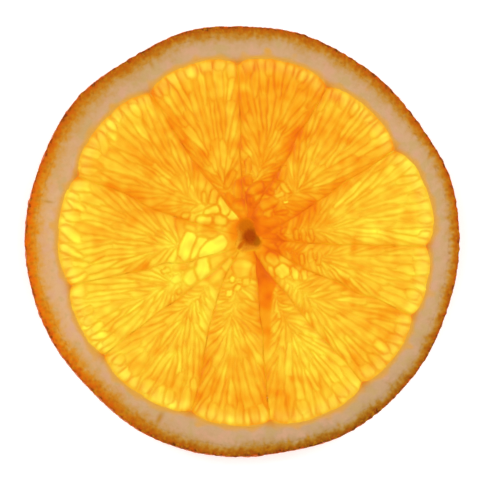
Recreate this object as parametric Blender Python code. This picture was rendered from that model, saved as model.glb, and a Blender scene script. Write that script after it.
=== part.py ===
"""A round slice cut across an orange, lying flat with one cut face up.

The slice is one solid. Its top and its bottom are the two cut faces: pillows of pulp between
thin membranes that run out from the core, a flat ring of white pith round them, and the peel,
whose outside closes the rim. Everything is laid out in polar coordinates about the core, which
lies a little off the middle of the fruit. +Z is up, and the slice rests on its lower cut face.
"""

import math
from typing import NamedTuple

import bmesh
import bpy
from mathutils import Vector

# Driving dimensions, in metres.
SLICE_RADIUS = 0.0379
SLICE_THICKNESS = 0.0060
PEEL_THICKNESS = 0.0018
CORE_RADIUS = 0.0026
CORE_DEPTH = 0.0008
MEMBRANE_GROOVE = 0.00030
PILLOW_RISE = 0.00020
EDGE_FURROW_DEPTH = 0.00025  # between the pulp and the pith
EDGE_FURROW_WIDTH = 0.0005
CUT_EDGE_ROUNDING = 0.00015
RIM_BULGE = 0.00012
RIM_LEAN = Vector((-0.00035, -0.00025, 0.0))  # the cut isn't quite square to the peel

# How the peel's outline departs from a circle about the core:
# waves round the rim, height in metres, bearing of a crest in degrees.
OUTLINE_WAVES = (
    (1, 0.00107, 209.0),
    (2, 0.00033, 143.0),
    (4, 0.00011, 0.0),
    (5, 0.00010, 18.0),
    (6, 0.00015, 11.0),
    (7, 0.00007, 46.0),
    (8, 0.00007, 15.0),
)
CORE_WAVES = (
    (2, 0.00025, 80.0),
    (3, 0.00055, 95.0),
)


class Segment(NamedTuple):
    """One segment of the fruit, and the membrane at its clockwise side."""

    bearing: float  # of the membrane's outer end, in degrees
    drift: float  # how far the membrane's inner end has turned, in degrees
    notch: float  # distance from the core to the membrane's outer end, in metres
    bulge: float  # how far the pulp reaches past its two notches, in metres


SEGMENTS = (
    Segment(31.0, -11.0, 0.0299, 0.0012),
    Segment(62.5, 20.0, 0.0299, 0.0015),
    Segment(93.5, 2.0, 0.0306, 0.0016),
    Segment(123.5, -6.0, 0.0306, 0.0016),
    Segment(159.5, 9.0, 0.0317, 0.0015),
    Segment(194.5, 14.0, 0.0320, 0.0011),
    Segment(219.0, 5.0, 0.0324, 0.0012),
    Segment(252.0, -20.0, 0.0318, 0.0010),
    Segment(277.5, 6.0, 0.0320, 0.0015),
    Segment(309.0, -13.0, 0.0322, 0.0011),
    Segment(336.0, -6.0, 0.0317, 0.0010),
    Segment(357.5, -3.0, 0.0313, 0.0020),
)
SHOULDER = 4.0  # how square the outer corners of a segment are

# Where the mesh has a column of points, across a segment, and a ring, from the core to the
# pulp's edge. The first and last column but one lie in the grooves beside the membranes.
ACROSS = (0.0, 0.05, 0.16, 0.30, 0.43, 0.57, 0.70, 0.84, 0.95)
GROOVE_COLUMNS = (0.05, 0.95)
OUTWARDS = (0.0, 0.08, 0.20, 0.34, 0.48, 0.62, 0.76, 0.88, 0.96, 1.0)
CORE_RINGS = ((0.45, 1.0), (0.80, 0.75))  # share of the core's radius, and of its depth

FLESH_COLOUR = (1.0, 0.42, 0.02, 1.0)


def waves(bearing, terms):
    """The sum of a few cosine waves round the slice at a bearing in degrees."""
    return sum(size * math.cos(math.radians(order * (bearing - crest))) for order, size, crest in terms)


class Column:
    """A line of points from the core to the rim, at a share of the way across one segment."""

    def __init__(self, index, share):
        self.share = share
        self.near = SEGMENTS[index]
        self.far = SEGMENTS[(index + 1) % len(SEGMENTS)]
        self.span = (self.far.bearing - self.near.bearing) % 360.0

    def bearing(self, outwards):
        """Bearing in degrees at a share of the way out, with the membranes' bend near the core."""
        bend = (1.0 - outwards) ** 2
        start = self.near.bearing + self.near.drift * bend
        end = self.near.bearing + self.span + self.far.drift * bend
        return start + (end - start) * self.share

    def pulp_edge(self):
        """Distance from the core to the pulp's edge, which is scalloped segment by segment."""
        notch = self.near.notch + (self.far.notch - self.near.notch) * self.share
        return notch + self.near.bulge * (1.0 - abs(2.0 * self.share - 1.0) ** SHOULDER)

    def pulp_point(self, outwards):
        """Distance and bearing of a pulp point at a share of the way from core to pulp edge."""
        bearing = self.bearing(outwards)
        core = CORE_RADIUS + waves(bearing, CORE_WAVES)
        return core + (self.pulp_edge() - core) * outwards, bearing

    def rim(self, inset):
        """Distance and bearing of a point this far inside the peel's outline."""
        bearing = self.bearing(1.0)
        return SLICE_RADIUS + waves(bearing, OUTLINE_WAVES) - inset, bearing

    def pillow(self, outwards, rise):
        """Height of the pulp above the cut plane."""
        if outwards == OUTWARDS[-1]:
            return -EDGE_FURROW_DEPTH
        if self.share in GROOVE_COLUMNS:
            return -MEMBRANE_GROOVE
        across = 4.0 * self.share * (1.0 - self.share)
        return rise * across * math.sin(math.pi * outwards)


def place(distance, bearing, height, shift=Vector((0.0, 0.0, 0.0))):
    """The point at a distance and a bearing from the core, at a height."""
    angle = math.radians(bearing)
    return Vector((distance * math.cos(angle), distance * math.sin(angle), height)) + shift


def cut_face(column, height, up, rise):
    """Points of one cut face along a column, from the core out to the start of the pith."""
    points = []
    for reach, depth in CORE_RINGS:
        distance, bearing = column.pulp_point(0.0)
        points.append(place(distance * reach, bearing, height - up * CORE_DEPTH * depth))
    for outwards in OUTWARDS:
        distance, bearing = column.pulp_point(outwards)
        points.append(place(distance, bearing, height + up * column.pillow(outwards, rise)))
    points.append(place(column.pulp_edge() + EDGE_FURROW_WIDTH, column.bearing(1.0), height))
    return points


def peel(column):
    """Points round the rim along a column, from the top pith's outer edge to the bottom one's."""
    top, bottom = SLICE_THICKNESS, 0.0
    edge = CUT_EDGE_ROUNDING
    profile = (
        (PEEL_THICKNESS, top, 0.0),
        (2.0 * edge, top, 0.0),
        (0.5 * edge, top - 0.5 * edge, 0.0),
        (0.0, top - 2.0 * edge, 0.0),
        (-RIM_BULGE, 0.5 * (top + bottom), 0.5),
        (0.0, bottom + 2.0 * edge, 1.0),
        (0.5 * edge, bottom + 0.5 * edge, 1.0),
        (2.0 * edge, bottom, 1.0),
        (PEEL_THICKNESS, bottom, 1.0),
    )
    return [place(*column.rim(inset), height, RIM_LEAN * lean) for inset, height, lean in profile]


def outline_shift(rows):
    """The move that puts the middle of the slice's box over the origin."""
    points = [point for row in rows for point in row]
    lows = [min(point[axis] for point in points) for axis in (0, 1)]
    highs = [max(point[axis] for point in points) for axis in (0, 1)]
    return Vector((-0.5 * (lows[0] + highs[0]), -0.5 * (lows[1] + highs[1]), 0.0))


def slice_mesh(name):
    """The whole slice as one closed mesh, with its box's bottom centre at the origin."""
    columns = [Column(index, share) for index in range(len(SEGMENTS)) for share in ACROSS]
    rows = []
    for column in columns:
        upper = cut_face(column, SLICE_THICKNESS, 1.0, PILLOW_RISE)
        lower = cut_face(column, 0.0, -1.0, 0.0)
        rows.append(upper + peel(column) + lower[::-1])
    shift = outline_shift(rows)

    mesh = bmesh.new()
    grid = [[mesh.verts.new(point + shift) for point in row] for row in rows]
    top = mesh.verts.new(Vector((0.0, 0.0, SLICE_THICKNESS - CORE_DEPTH)) + shift)
    bottom = mesh.verts.new(Vector((0.0, 0.0, CORE_DEPTH)) + shift)
    for index, row in enumerate(grid):
        ahead = grid[(index + 1) % len(grid)]
        mesh.faces.new((top, row[0], ahead[0]))
        mesh.faces.new((bottom, ahead[-1], row[-1]))
        for ring in range(len(row) - 1):
            mesh.faces.new((row[ring], row[ring + 1], ahead[ring + 1], ahead[ring]))
    bmesh.ops.recalc_face_normals(mesh, faces=mesh.faces)

    data = bpy.data.meshes.new(name)
    mesh.to_mesh(data)
    mesh.free()
    data.shade_smooth()
    data.set_sharp_from_angle(angle=math.radians(35.0))
    return data


def flesh_material():
    """Wet orange flesh."""
    material = bpy.data.materials.new("orange_flesh")
    material.use_nodes = True
    shader = material.node_tree.nodes["Principled BSDF"]
    shader.inputs["Base Color"].default_value = FLESH_COLOUR
    shader.inputs["Roughness"].default_value = 0.3
    shader.inputs["Metallic"].default_value = 0.0
    return material


def main():
    """Clear the scene and model the slice."""
    for thing in list(bpy.data.objects):
        bpy.data.objects.remove(thing, do_unlink=True)
    piece = bpy.data.objects.new("slice", slice_mesh("slice"))
    piece.data.materials.append(flesh_material())
    bpy.context.scene.collection.objects.link(piece)


main()
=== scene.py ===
"""Looks of the orange slice: its pulp, membranes, pith, peel and core, with a floor, lights and a camera.

The slice is laid out in polar coordinates about its core, which lies a little off the middle of
the fruit. Each segment of pulp is a closed wedge whose two cut faces are covered with juice sacs,
and thin membranes stand between the wedges. The pith and the peel are closed rings round them.

Sizes are in millimetres and bearings in degrees, counterclockwise from +X, until a mesh is made.
"""
import logging
import math
from dataclasses import dataclass, field
from enum import Enum, IntEnum

import bmesh
import bpy
import numpy as np
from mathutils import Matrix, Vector


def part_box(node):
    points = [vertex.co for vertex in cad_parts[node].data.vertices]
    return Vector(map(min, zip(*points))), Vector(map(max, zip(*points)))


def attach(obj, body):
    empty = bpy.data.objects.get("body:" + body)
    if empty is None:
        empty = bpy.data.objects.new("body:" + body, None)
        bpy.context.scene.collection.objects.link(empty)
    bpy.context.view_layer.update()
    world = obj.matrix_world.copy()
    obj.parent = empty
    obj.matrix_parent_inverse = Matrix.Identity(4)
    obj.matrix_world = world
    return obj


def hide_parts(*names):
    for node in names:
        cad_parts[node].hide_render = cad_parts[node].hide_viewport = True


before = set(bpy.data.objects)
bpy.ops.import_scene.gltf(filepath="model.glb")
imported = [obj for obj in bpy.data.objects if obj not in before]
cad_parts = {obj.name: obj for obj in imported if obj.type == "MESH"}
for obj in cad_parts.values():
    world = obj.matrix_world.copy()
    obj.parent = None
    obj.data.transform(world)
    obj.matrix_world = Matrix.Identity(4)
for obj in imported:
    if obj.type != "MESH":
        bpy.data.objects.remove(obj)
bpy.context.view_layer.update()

LOG = logging.getLogger("orange_slice")
NODE = "slice"
BODY = "root"
MM = 0.001
LIGHT_LEVEL = 1.15  # light that a matt white surface facing up sends back
GLOSS_LEVEL = 0.005  # light that the gloss of a moist surface adds
TOP_HEIGHT = 6.0  # the upper cut face
FULL_GLOW = 255.0

Array = np.ndarray
Range = tuple[float, float]
Triple = tuple[float, float, float]
Colour = tuple[float, float, float, float]
Waves = tuple[tuple[int, float, float], ...]


class Seed(IntEnum):
    """What each random field or scatter starts from."""

    SACS = 7
    UNDERSIDE_SACS = 108
    FACE = 31
    STREAK = 40
    CLOUD = 70
    FINE_CLOUD = 71
    MEMBRANE_WIDTH = 80
    MEMBRANE_TOP = 95
    PULP_SKIN = 140
    CORE_SKIN = 150
    SHOWING_SKIN = 170
    RIND_LEVEL = 201
    FINE_RIND_LEVEL = 202
    JOINT = 203
    BAND = 204
    TEETH = 205
    FINE_TEETH = 206
    PITH_GRAIN = 207
    PITH_EDGE = 208
    PORES = 301
    DOTS = 302
    RIM_WAVES = 303
    NICKS = 304
    FINE_NICKS = 305
    FIBRE = 401
    FINE_FIBRE = 402
    MEMBRANE_SWAY = 500
    HEADING = 600
    SAC_SWAY = 610
    SAC_RUFFLE = 620
    BRIM = 640


# ---------------- numbers and fields

def smoothstep(low: float, high: float, value: Array) -> Array:
    """Return 0 below low, 1 above high and a smooth ramp between them."""
    share = np.clip((value - low) / (high - low), 0.0, 1.0)
    return share * share * (3.0 - 2.0 * share)


def mix(first: Array, second: Array, share: Array) -> Array:
    """Return first where share is 0, second where it is 1."""
    return first + (second - first) * share


def hump(value: Array, width: float) -> Array:
    """Return a soft bell of the given half-width, 1 where value is 0."""
    return np.exp(-np.square(value / width))


def eased_least(first: Array, second: Array, corner: Array) -> Array:
    """Return the smaller of two distances, rounded off where they differ by less than corner."""
    overlap = np.maximum(corner - np.abs(first - second), 0.0) / corner
    return np.maximum(np.minimum(first, second) - overlap ** 2 * corner / 4.0, 0.0)


def turned(bearing: Array, towards: float) -> Array:
    """Return how many degrees a bearing lies from another one, between -180 and 180."""
    return (bearing - towards + 180.0) % 360.0 - 180.0


def polar(bearing: Array, radius: Array) -> Array:
    """Return x and y, one point a line, of places given from the core."""
    angle = np.radians(bearing)
    return np.stack((radius * np.cos(angle), radius * np.sin(angle)), 1)


def waves(bearing: Array, table: Waves) -> Array:
    """Add up an outline's waves.

    Args:
        bearing: Degrees at which to read them.
        table: Rows of order, size in millimetres and bearing of the first crest.

    Returns:
        How far the outline stands out there.
    """
    total = np.zeros_like(bearing, dtype=float)
    for order, size, crest in table:
        total = total + size * np.cos(np.radians(order * (bearing - crest)))
    return total


@dataclass(frozen=True)
class Ripple:
    """A smooth random field over the plane, the sum of many waves of about one length."""

    length: float
    seed: int
    count: int = 22
    spread: float = 0.45

    def at(self, x: Array, y: Array) -> Array:
        """Read the field.

        Args:
            x: First coordinate, in millimetres.
            y: Second coordinate.

        Returns:
            Values around 0 with a standard deviation of about 1.
        """
        rng = np.random.default_rng(self.seed)
        total = np.zeros(np.broadcast(x, y).shape)
        for _ in range(self.count):
            heading = rng.uniform(0.0, math.tau)
            phase = rng.uniform(0.0, math.tau)
            pitch = math.tau / (self.length * rng.uniform(1.0 - self.spread, 1.0 + self.spread))
            total += np.cos(pitch * (x * math.cos(heading) + y * math.sin(heading)) + phase)
        return total * math.sqrt(2.0 / self.count)


@dataclass(frozen=True)
class Speckle:
    """Points scattered one to a square over a strip that closes on itself in u."""

    around: float
    spacing: float
    seed: int
    rows: int = 64

    def nearest(self, u: Array, v: Array) -> tuple[Array, Array]:
        """Find the scattered point nearest to each place.

        Args:
            u: Place along the strip, in millimetres.
            v: Place across it.

        Returns:
            The distance to that point, and its own random value from 0 to 1.
        """
        columns = max(3, round(self.around / self.spacing))
        step = self.around / columns
        rng = np.random.default_rng(self.seed)
        shift = rng.uniform(0.1, 0.9, (columns, self.rows, 2))
        value = rng.uniform(0.0, 1.0, (columns, self.rows))
        column = np.floor(u / step).astype(int)
        row = np.floor(v / step).astype(int)
        best = np.full(np.broadcast(u, v).shape, np.inf)
        found = np.zeros_like(best)
        for right in (-1, 0, 1):
            for up in (-1, 0, 1):
                i = (column + right) % columns
                j = (row + up) % self.rows
                far_u = (column + right + shift[i, j, 0]) * step - u
                far_v = (row + up + shift[i, j, 1]) * step - v
                distance = np.hypot(far_u, far_v)
                nearer = distance < best
                best = np.where(nearer, distance, best)
                found = np.where(nearer, value[i, j], found)
        return best, found


# ---------------- meshes

class Slot(Enum):
    """The record's material slots."""

    PULP = "pulp"
    MEMBRANE = "membrane"
    PITH = "pith"
    PEEL = "peel"
    CORE = "core"


class Face(Enum):
    """The two cut faces."""

    TOP = "top"
    UNDERSIDE = "underside"


@dataclass
class Skin:
    """A mesh on its way to becoming a piece: its points, its faces and what is painted on them."""

    points: Array
    faces: list[Array]
    paint: dict[str, Array] = field(default_factory=dict)

    def piece(self, name: str, slot: Slot, material: bpy.types.Material, crease: float) -> bpy.types.Object:
        """Make the mesh a piece of the model.

        Args:
            name: The piece's name.
            slot: The record's slot, which is only named in the log.
            material: Its material.
            crease: Edges that turn by more than this many degrees stay sharp.

        Returns:
            The new object, which rides on the slice's body and stands for its solid.
        """
        mesh = bpy.data.meshes.new(name)
        faces = [face for group in self.faces for face in group.tolist()]
        mesh.from_pydata((self.points * MM).tolist(), [], faces)
        for label, values in self.paint.items():
            kind, key = ("FLOAT_VECTOR", "vector") if values.ndim == 2 else ("FLOAT", "value")
            layer = mesh.attributes.new(label, kind, "POINT")
            layer.data.foreach_set(key, values.astype(np.float32).ravel())
        turning = bmesh.new()
        turning.from_mesh(mesh)
        bmesh.ops.recalc_face_normals(turning, faces=turning.faces)
        turning.to_mesh(mesh)
        turning.free()
        mesh.shade_smooth()
        mesh.set_sharp_from_angle(angle=math.radians(crease))
        mesh.materials.append(material)
        piece = bpy.data.objects.new(name, mesh)
        bpy.context.scene.collection.objects.link(piece)
        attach(piece, BODY)
        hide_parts(NODE)
        LOG.info("%s: %d faces, slot %s", name, len(mesh.polygons), slot.value)
        return piece


def zip_rows(lower: Array, upper: Array) -> Array:
    """Join two rows of points with triangles, whatever number of points each has.

    Args:
        lower: Point numbers of one row.
        upper: Point numbers of the next row, in the same direction.

    Returns:
        Triangles, one a line.
    """
    along_lower = np.linspace(0.0, 1.0, len(lower))[1:]
    along_upper = np.linspace(0.0, 1.0, len(upper))[1:]
    facing_upper = np.searchsorted(along_upper, along_lower - 1e-9)
    facing_lower = np.searchsorted(along_lower, along_upper + 1e-9)
    first = np.stack((lower[:-1], lower[1:], upper[facing_upper]), 1)
    second = np.stack((upper[1:], upper[:-1], lower[facing_lower]), 1)
    return np.concatenate((first, second))


def grid_of(rows: int, columns: int) -> Array:
    """Return the point numbers of a grid, row after row."""
    return np.arange(rows * columns).reshape(rows, columns)


def grid_faces(grid: Array, close_rows: bool, close_columns: bool) -> Array:
    """Join the points of a grid with quads.

    Args:
        grid: Its point numbers, row after row.
        close_rows: Whether the last row joins the first.
        close_columns: Whether the last column joins the first.

    Returns:
        Quads, one a line.
    """
    if close_rows:
        grid = np.vstack((grid, grid[:1]))
    if close_columns:
        grid = np.hstack((grid, grid[:, :1]))
    corners = (grid[:-1, :-1], grid[:-1, 1:], grid[1:, 1:], grid[1:, :-1])
    return np.stack(corners, -1).reshape(-1, 4)


# ---------------- the slice's plan

@dataclass(frozen=True)
class Segment:
    """One segment, from the membrane on its clockwise side to the next membrane round."""

    bearing: float  # of the membrane's outer end
    drift: float  # degrees that the membrane has turned by its inner end
    swerve: float  # more degrees that it turns close to the core
    notch: float  # how far out the pulp reaches at the membrane
    bulge: float  # how much further it reaches between membranes
    focus: float  # how far from the core the juice sacs point to
    focus_share: float  # and where across the segment
    heart: float  # glow by the core, 0 to 255
    brim: float  # glow by the pith
    coarse: float  # how far out the large inner sacs reach
    skin: float  # how much of its skin shows beside the membrane


SEGMENTS = (
    Segment(31, -8, -7, 29.9, 1.2, 13.4, 0.42, 136, 187, 6, 1.2),
    Segment(62.5, 9, 10, 29.9, 1.5, 14.3, 0.51, 134, 174, 7, 1.5),
    Segment(93.5, 4, -8, 30.6, 1.6, 11.7, 0.66, 152, 182, 8, 1.2),
    Segment(124, 1, -14, 30.6, 1.6, 12.2, 0.58, 219, 184, 9, 0.9),
    Segment(159.7, 10, -10, 31.7, 1.5, 14.1, 0.68, 236, 199, 12, 1.2),
    Segment(195, 8, 14, 32, 1.1, 17.3, 0.61, 228, 209, 13, 0.8),
    Segment(219, 5, 3, 32.4, 1.2, 16.9, 0.34, 216, 197, 11, 0.7),
    Segment(251.7, -19.5, 3, 31.8, 1, 15.5, 0.39, 214, 180, 7, 1),
    Segment(277, 5, 13, 32, 1.5, 17.9, 0.58, 110, 201, 6, 1.5),
    Segment(308.5, -9, 0, 32.2, 1.1, 15.7, 0.33, 178, 192, 8, 0.9),
    Segment(335, -5, 7, 31.7, 1, 14.7, 0.50, 143, 203, 5, 0.9),
    Segment(357.7, -5, 10, 31.3, 2, 13.7, 0.36, 128, 208, 6, 1.2),
)


@dataclass(frozen=True)
class Plan:
    """Where everything lies, in polar coordinates about the core."""

    core_x: float
    core_y: float
    radius: float = 37.9
    core_radius: float = 2.6
    shoulder: float = 4.0  # how square the segments' outer ends are
    rim_bulge: float = 0.12
    rim_lean: Range = (-0.35, -0.25)
    wobble: float = 0.13  # of the membranes
    outline_waves: Waves = (
        (1, 1.07, 209), (2, 0.33, 143), (4, 0.11, 0), (5, 0.10, 18), (6, 0.15, 11),
        (7, 0.07, 46), (8, 0.07, 15), (9, 0.06, 19), (10, 0.05, 35), (11, 0.07, 10),
        (12, 0.06, 21), (13, 0.05, 20),
    )
    core_waves: Waves = ((1, 0.3, 103.0), (2, 0.45, 100.0), (3, 0.5, 100.0))

    @classmethod
    def fitted(cls, low: Vector, high: Vector) -> "Plan":
        """Place the plan so that its outline fills a box.

        Args:
            low: The box's lowest corner, in metres.
            high: Its highest corner.

        Returns:
            The plan, with the core where it belongs in the box.
        """
        loose = cls(0.0, 0.0)
        bearing = np.arange(0.0, 360.0, 0.25)
        sections = ((0.0, 0.0), (1.0, 0.5), (0.0, 1.0))  # bulge and lean at the top, halfway and below
        levels = [loose.rim(bearing, -loose.rim_bulge * bulge, lean) for bulge, lean in sections]
        x = np.concatenate([level[0] for level in levels])
        y = np.concatenate([level[1] for level in levels])
        middle = (low + high) / (2.0 * MM)
        return cls(middle.x - (x.min() + x.max()) / 2.0, middle.y - (y.min() + y.max()) / 2.0)

    def place(self, bearing: Array, radius: Array) -> tuple[Array, Array]:
        """Return x and y of a point given from the core."""
        angle = np.radians(bearing)
        return self.core_x + radius * np.cos(angle), self.core_y + radius * np.sin(angle)

    def outline(self, bearing: Array) -> Array:
        """Return how far the peel's outside is from the core."""
        return self.radius + waves(bearing, self.outline_waves)

    def rim(self, bearing: Array, inset: Array, lean: Array) -> tuple[Array, Array]:
        """Find a point near the peel's outside.

        Args:
            bearing: Its bearing from the core.
            inset: How far in from the outline it lies.
            lean: Its share of the cut's lean, 0 at the top and 1 at the underside.

        Returns:
            Its x and y.
        """
        x, y = self.place(bearing, self.outline(bearing) - inset)
        return x + self.rim_lean[0] * lean, y + self.rim_lean[1] * lean

    def core_edge(self, bearing: Array) -> Array:
        """Return the core's radius."""
        return self.core_radius + waves(bearing, self.core_waves)

    def membrane(self, index: int, outwards: Array) -> Array:
        """Follow a membrane.

        Args:
            index: Which one; beyond the last, the count goes round again.
            outwards: Share of the way from the core to the pith.

        Returns:
            Its bearing there.
        """
        turn, number = divmod(index, len(SEGMENTS))
        row = SEGMENTS[number]
        inwards = 1.0 - outwards
        reach = self.core_radius + outwards * (row.notch - self.core_radius)
        sway = Ripple(9.0, Seed.MEMBRANE_SWAY + number).at(reach, 0.0) * self.wobble
        sway = sway * np.sin(math.pi * outwards)
        bend = row.drift * inwards ** 2 + row.swerve * inwards ** 8
        return row.bearing + bend + np.degrees(sway / reach) + 360.0 * turn

    def pulp_edge(self, index: int, share: Array) -> Array:
        """Return how far out a segment's pulp reaches, at a share of the way across it."""
        near = SEGMENTS[index]
        far = SEGMENTS[(index + 1) % len(SEGMENTS)]
        swell = 1.0 - np.abs(2.0 * share - 1.0) ** self.shoulder
        return mix(near.notch, far.notch, share) + near.bulge * swell

    def pulp_edge_at(self, bearing: Array) -> Array:
        """Return how far out the pulp reaches at any bearing."""
        edge = np.zeros_like(bearing, dtype=float)
        for index, row in enumerate(SEGMENTS):
            span = float(self.membrane(index + 1, np.array(1.0)) - row.bearing)
            share = ((bearing - row.bearing) % 360.0) / span
            edge = np.where(share <= 1.0, self.pulp_edge(index, np.clip(share, 0.0, 1.0)), edge)
        return edge

    def pulp_point(self, index: int, outwards: Array, share: Array) -> tuple[Array, Array]:
        """Find a point in a segment.

        Args:
            index: The segment.
            outwards: Share of the way from the core to the pith.
            share: Share of the way across, counterclockwise.

        Returns:
            Its bearing and its distance from the core.
        """
        near = self.membrane(index, outwards)
        far = self.membrane(index + 1, outwards)
        bearing = mix(near, far, share)
        core = self.core_edge(bearing)
        return bearing, core + (self.pulp_edge(index, share) - core) * outwards


def notches(bearing: Array, radius: Array, width: float) -> Array:
    """Return 1 where a membrane meets the pith, fading to 0 over the given width along the edge."""
    across = np.radians([turned(bearing, row.bearing) for row in SEGMENTS]) * radius
    return hump(np.abs(across).min(0), width)


@dataclass(frozen=True)
class Blotch:
    """A patch of pulp that is lighter or deeper than the rest."""

    bearing: float
    radius: float
    length: float
    width: float
    glow: float

    def at(self, bearing: Array, radius: Array) -> Array:
        """Return what it adds to the glow."""
        across = np.radians(turned(bearing, self.bearing)) * self.radius
        return self.glow * hump(radius - self.radius, self.length) * hump(across, self.width)


BLOTCHES = (  # bearing, radius, half the length along the radius, half the width, and what it adds
    (224, 10, 3.5, 3, 16), (240, 15.5, 4.5, 2.2, 20), (311, 11, 3.5, 2.5, 14), (48, 17.5, 4, 3, 16),
    (94, 12.5, 5, 3, 18), (68, 13, 3, 2.2, 8), (260, 18.5, 3.5, 2.2, 26), (300, 20.5, 4, 3, 22),
    (158, 10, 1.8, 1.8, 12), (50, 28, 2.5, 2.5, 16), (138, 28.5, 2.2, 4.5, 15), (20, 10.5, 3.8, 2.8, -32),
    (165, 20.5, 4.5, 3.2, -20), (250, 25.5, 3, 1.8, -18), (281, 28.5, 3.2, 2.5, -32),
    (151, 16, 2.2, 1.8, -12), (31, 23.5, 3.5, 2, -12), (335, 19, 2.5, 1.5, -14), (322, 29.8, 2.2, 5, -16),
    (182, 29.8, 1.8, 5, 14), (120, 25, 2.5, 2, -12), (60, 21.5, 2.5, 1.8, -12), (197, 13.5, 2.5, 3, 18),
    (250, 13, 2.5, 2.5, 20), (221, 16, 2.5, 2, 12), (0, 19.5, 2.5, 2.5, 15), (161, 7.5, 2.2, 2.4, 12),
    (278, 7, 2, 1.2, 10), (30, 17.5, 2.5, 2, -20), (170, 13, 2, 2.2, -16), (60, 16, 2, 2.2, -14),
    (330, 25, 2, 2, -16), (293, 29.5, 2.2, 5, -14), (235, 30.5, 2, 6, -9), (80, 27.5, 3.5, 2.2, -13),
    (90, 25, 2.5, 2.5, -12), (350, 10, 2, 2, -10), (350, 16, 2, 2, -10), (345, 8.5, 2, 1.5, -18),
    (25, 4.5, 2, 2.5, -12), (314, 16, 3.5, 2.8, 14), (52, 25.5, 2.2, 3, -15), (100, 28.5, 2.2, 2.5, 13),
    (190, 27, 2.5, 2, 14), (220, 29, 2, 2, 11), (238, 24.5, 2.5, 3, 11), (140, 21, 2.5, 2.5, -11),
    (150, 30.5, 1.6, 3, 10), (120, 10, 2, 2, -9), (264, 32, 0.9, 5, 18), (345, 5.5, 2.5, 1.6, -12),
    (128, 5.3, 1.6, 1.4, -14), (73, 6, 2.2, 0.6, -14), (66, 11.6, 1.1, 0.6, -16), (94, 12, 2.2, 0.5, -16),
    (95, 8, 3.2, 2.8, 16), (110, 18, 3.8, 2, -13), (170, 23, 2.5, 2, -7), (50, 21, 3.2, 2.2, -9),
    (251, 18.8, 2, 1.6, -12), (274, 21.5, 3, 2.5, 11), (5, 9.3, 2.8, 2.2, 12), (221, 19.5, 2.5, 2, -12),
    (66, 16, 2.2, 1.6, -9), (297, 16.5, 2, 2, -9), (206, 13, 2.5, 2.4, 15), (290, 10, 2.2, 1.5, 10),
    (262, 9, 2.5, 2, 9), (5, 24.5, 2.8, 2.8, 11), (130, 28, 2, 2, 10), (328, 24, 2.5, 2.2, 10),
    (190, 16, 1.6, 1.8, -9), (80, 30.5, 1.5, 2.5, -8), (270, 30.5, 1.5, 3, -10), (330, 30.5, 1.5, 3, -9),
    (172, 7.5, 2, 1.6, 8), (190, 10, 1.8, 1.5, 10), (265, 7, 2, 1.6, 10), (262, 22, 2, 1.8, 9),
    (120, 22, 2.2, 1.8, -10), (40, 25, 2, 2, -9), (290, 16, 1.8, 1.5, -9), (76, 13, 1.8, 1.8, -9),
    (341, 25, 1.8, 1.8, -9), (320, 22, 1.8, 1.8, 9), (300, 28, 1.8, 1.8, 8), (210, 25, 1.8, 1.8, 9),
)


@dataclass(frozen=True)
class Glow:
    """How light each place in the pulp is, on a scale from 0 to 255."""

    fade: float = 6.0  # how far out the inner glow reaches
    brim_lift: float = 9.0
    brim_zone: Range = (28.5, 31.0)
    deepest: float = 103.0
    hub: float = 144.0  # glow right by the core, and how much it changes round it
    hub_swing: float = 30.0
    hub_bearing: float = 250.0
    hub_zone: Range = (2.4, 5.6)
    band_depth: float = 8.0  # of the line along each membrane
    band_width: float = 0.45
    skin_depth: float = 27.0  # of the stretches where a membrane's skin shows beside it
    skin_widths: Range = (0.5, 0.6)
    skin_levels: Triple = (0.4, 0.6, 1.4)  # mean, swing and most
    skin_by_core: Triple = (0.7, 11.0, 4.5)  # least, middle and reach
    skin_outside: float = 0.55
    skin_taper: Range = (16.0, 26.0)
    deep_share: float = 0.35  # of a band, in the deepest colours
    deep_span: float = 60.0
    blotches: tuple[Blotch, ...] = tuple(Blotch(*row) for row in BLOTCHES)

    def at(self, plan: Plan, index: int, bearing: Array, radius: Array) -> Array:
        """Read the glow.

        Args:
            plan: The slice's plan.
            index: The segment that the place is in.
            bearing: Its bearing from the core.
            radius: Its distance from the core.

        Returns:
            The glow, without the pattern of the juice sacs.
        """
        row = SEGMENTS[index % len(SEGMENTS)]
        glow = mix(row.brim, row.heart, np.exp(-np.maximum(radius - plan.core_radius, 0.0) / self.fade))
        glow = glow + self.brim_lift * smoothstep(*self.brim_zone, radius)
        for blotch in self.blotches:
            glow = glow + blotch.at(bearing, radius)
        hub = self.hub + self.hub_swing * np.cos(np.radians(bearing - self.hub_bearing))
        return mix(hub, glow, smoothstep(*self.hub_zone, radius))

    def beside(self, glow: Array, band: Array) -> Array:
        """Return a glow less what a membrane takes off it; deep colours lose less than light ones."""
        return glow - band * np.clip((glow - self.deepest) / self.deep_span, self.deep_share, 1.0)

    def band(self, index: int, radius: Array, distance: Array) -> Array:
        """Read how much deeper the pulp's colour is close to a membrane.

        Args:
            index: The membrane, counted as its segment.
            radius: Distances from the core.
            distance: Distances from the membrane.

        Returns:
            What to take off the glow: most at the membrane, and more in some stretches of it.
        """
        number = index % len(SEGMENTS)
        mean, swing, most = self.skin_levels
        least, middle, reach = self.skin_by_core
        patch = np.clip(mean + swing * Ripple(5.0, Seed.SHOWING_SKIN + number).at(radius, 0.0), 0.0, most)
        patch = np.maximum(patch, least * hump(radius - middle, reach))
        patch = patch * SEGMENTS[number].skin
        patch = patch * mix(1.0, self.skin_outside, smoothstep(*self.skin_taper, radius))
        skin = self.skin_depth * patch * hump(distance, self.skin_widths[0] + self.skin_widths[1] * patch)
        return self.band_depth * hump(distance, self.band_width) + skin


# ---------------- pulp

@dataclass(frozen=True)
class BigSac:
    """A large sac near the core or along the pith, cut through its middle."""

    bearing: float
    radius: float
    heading: float
    length: float
    width: float
    glow: float


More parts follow.
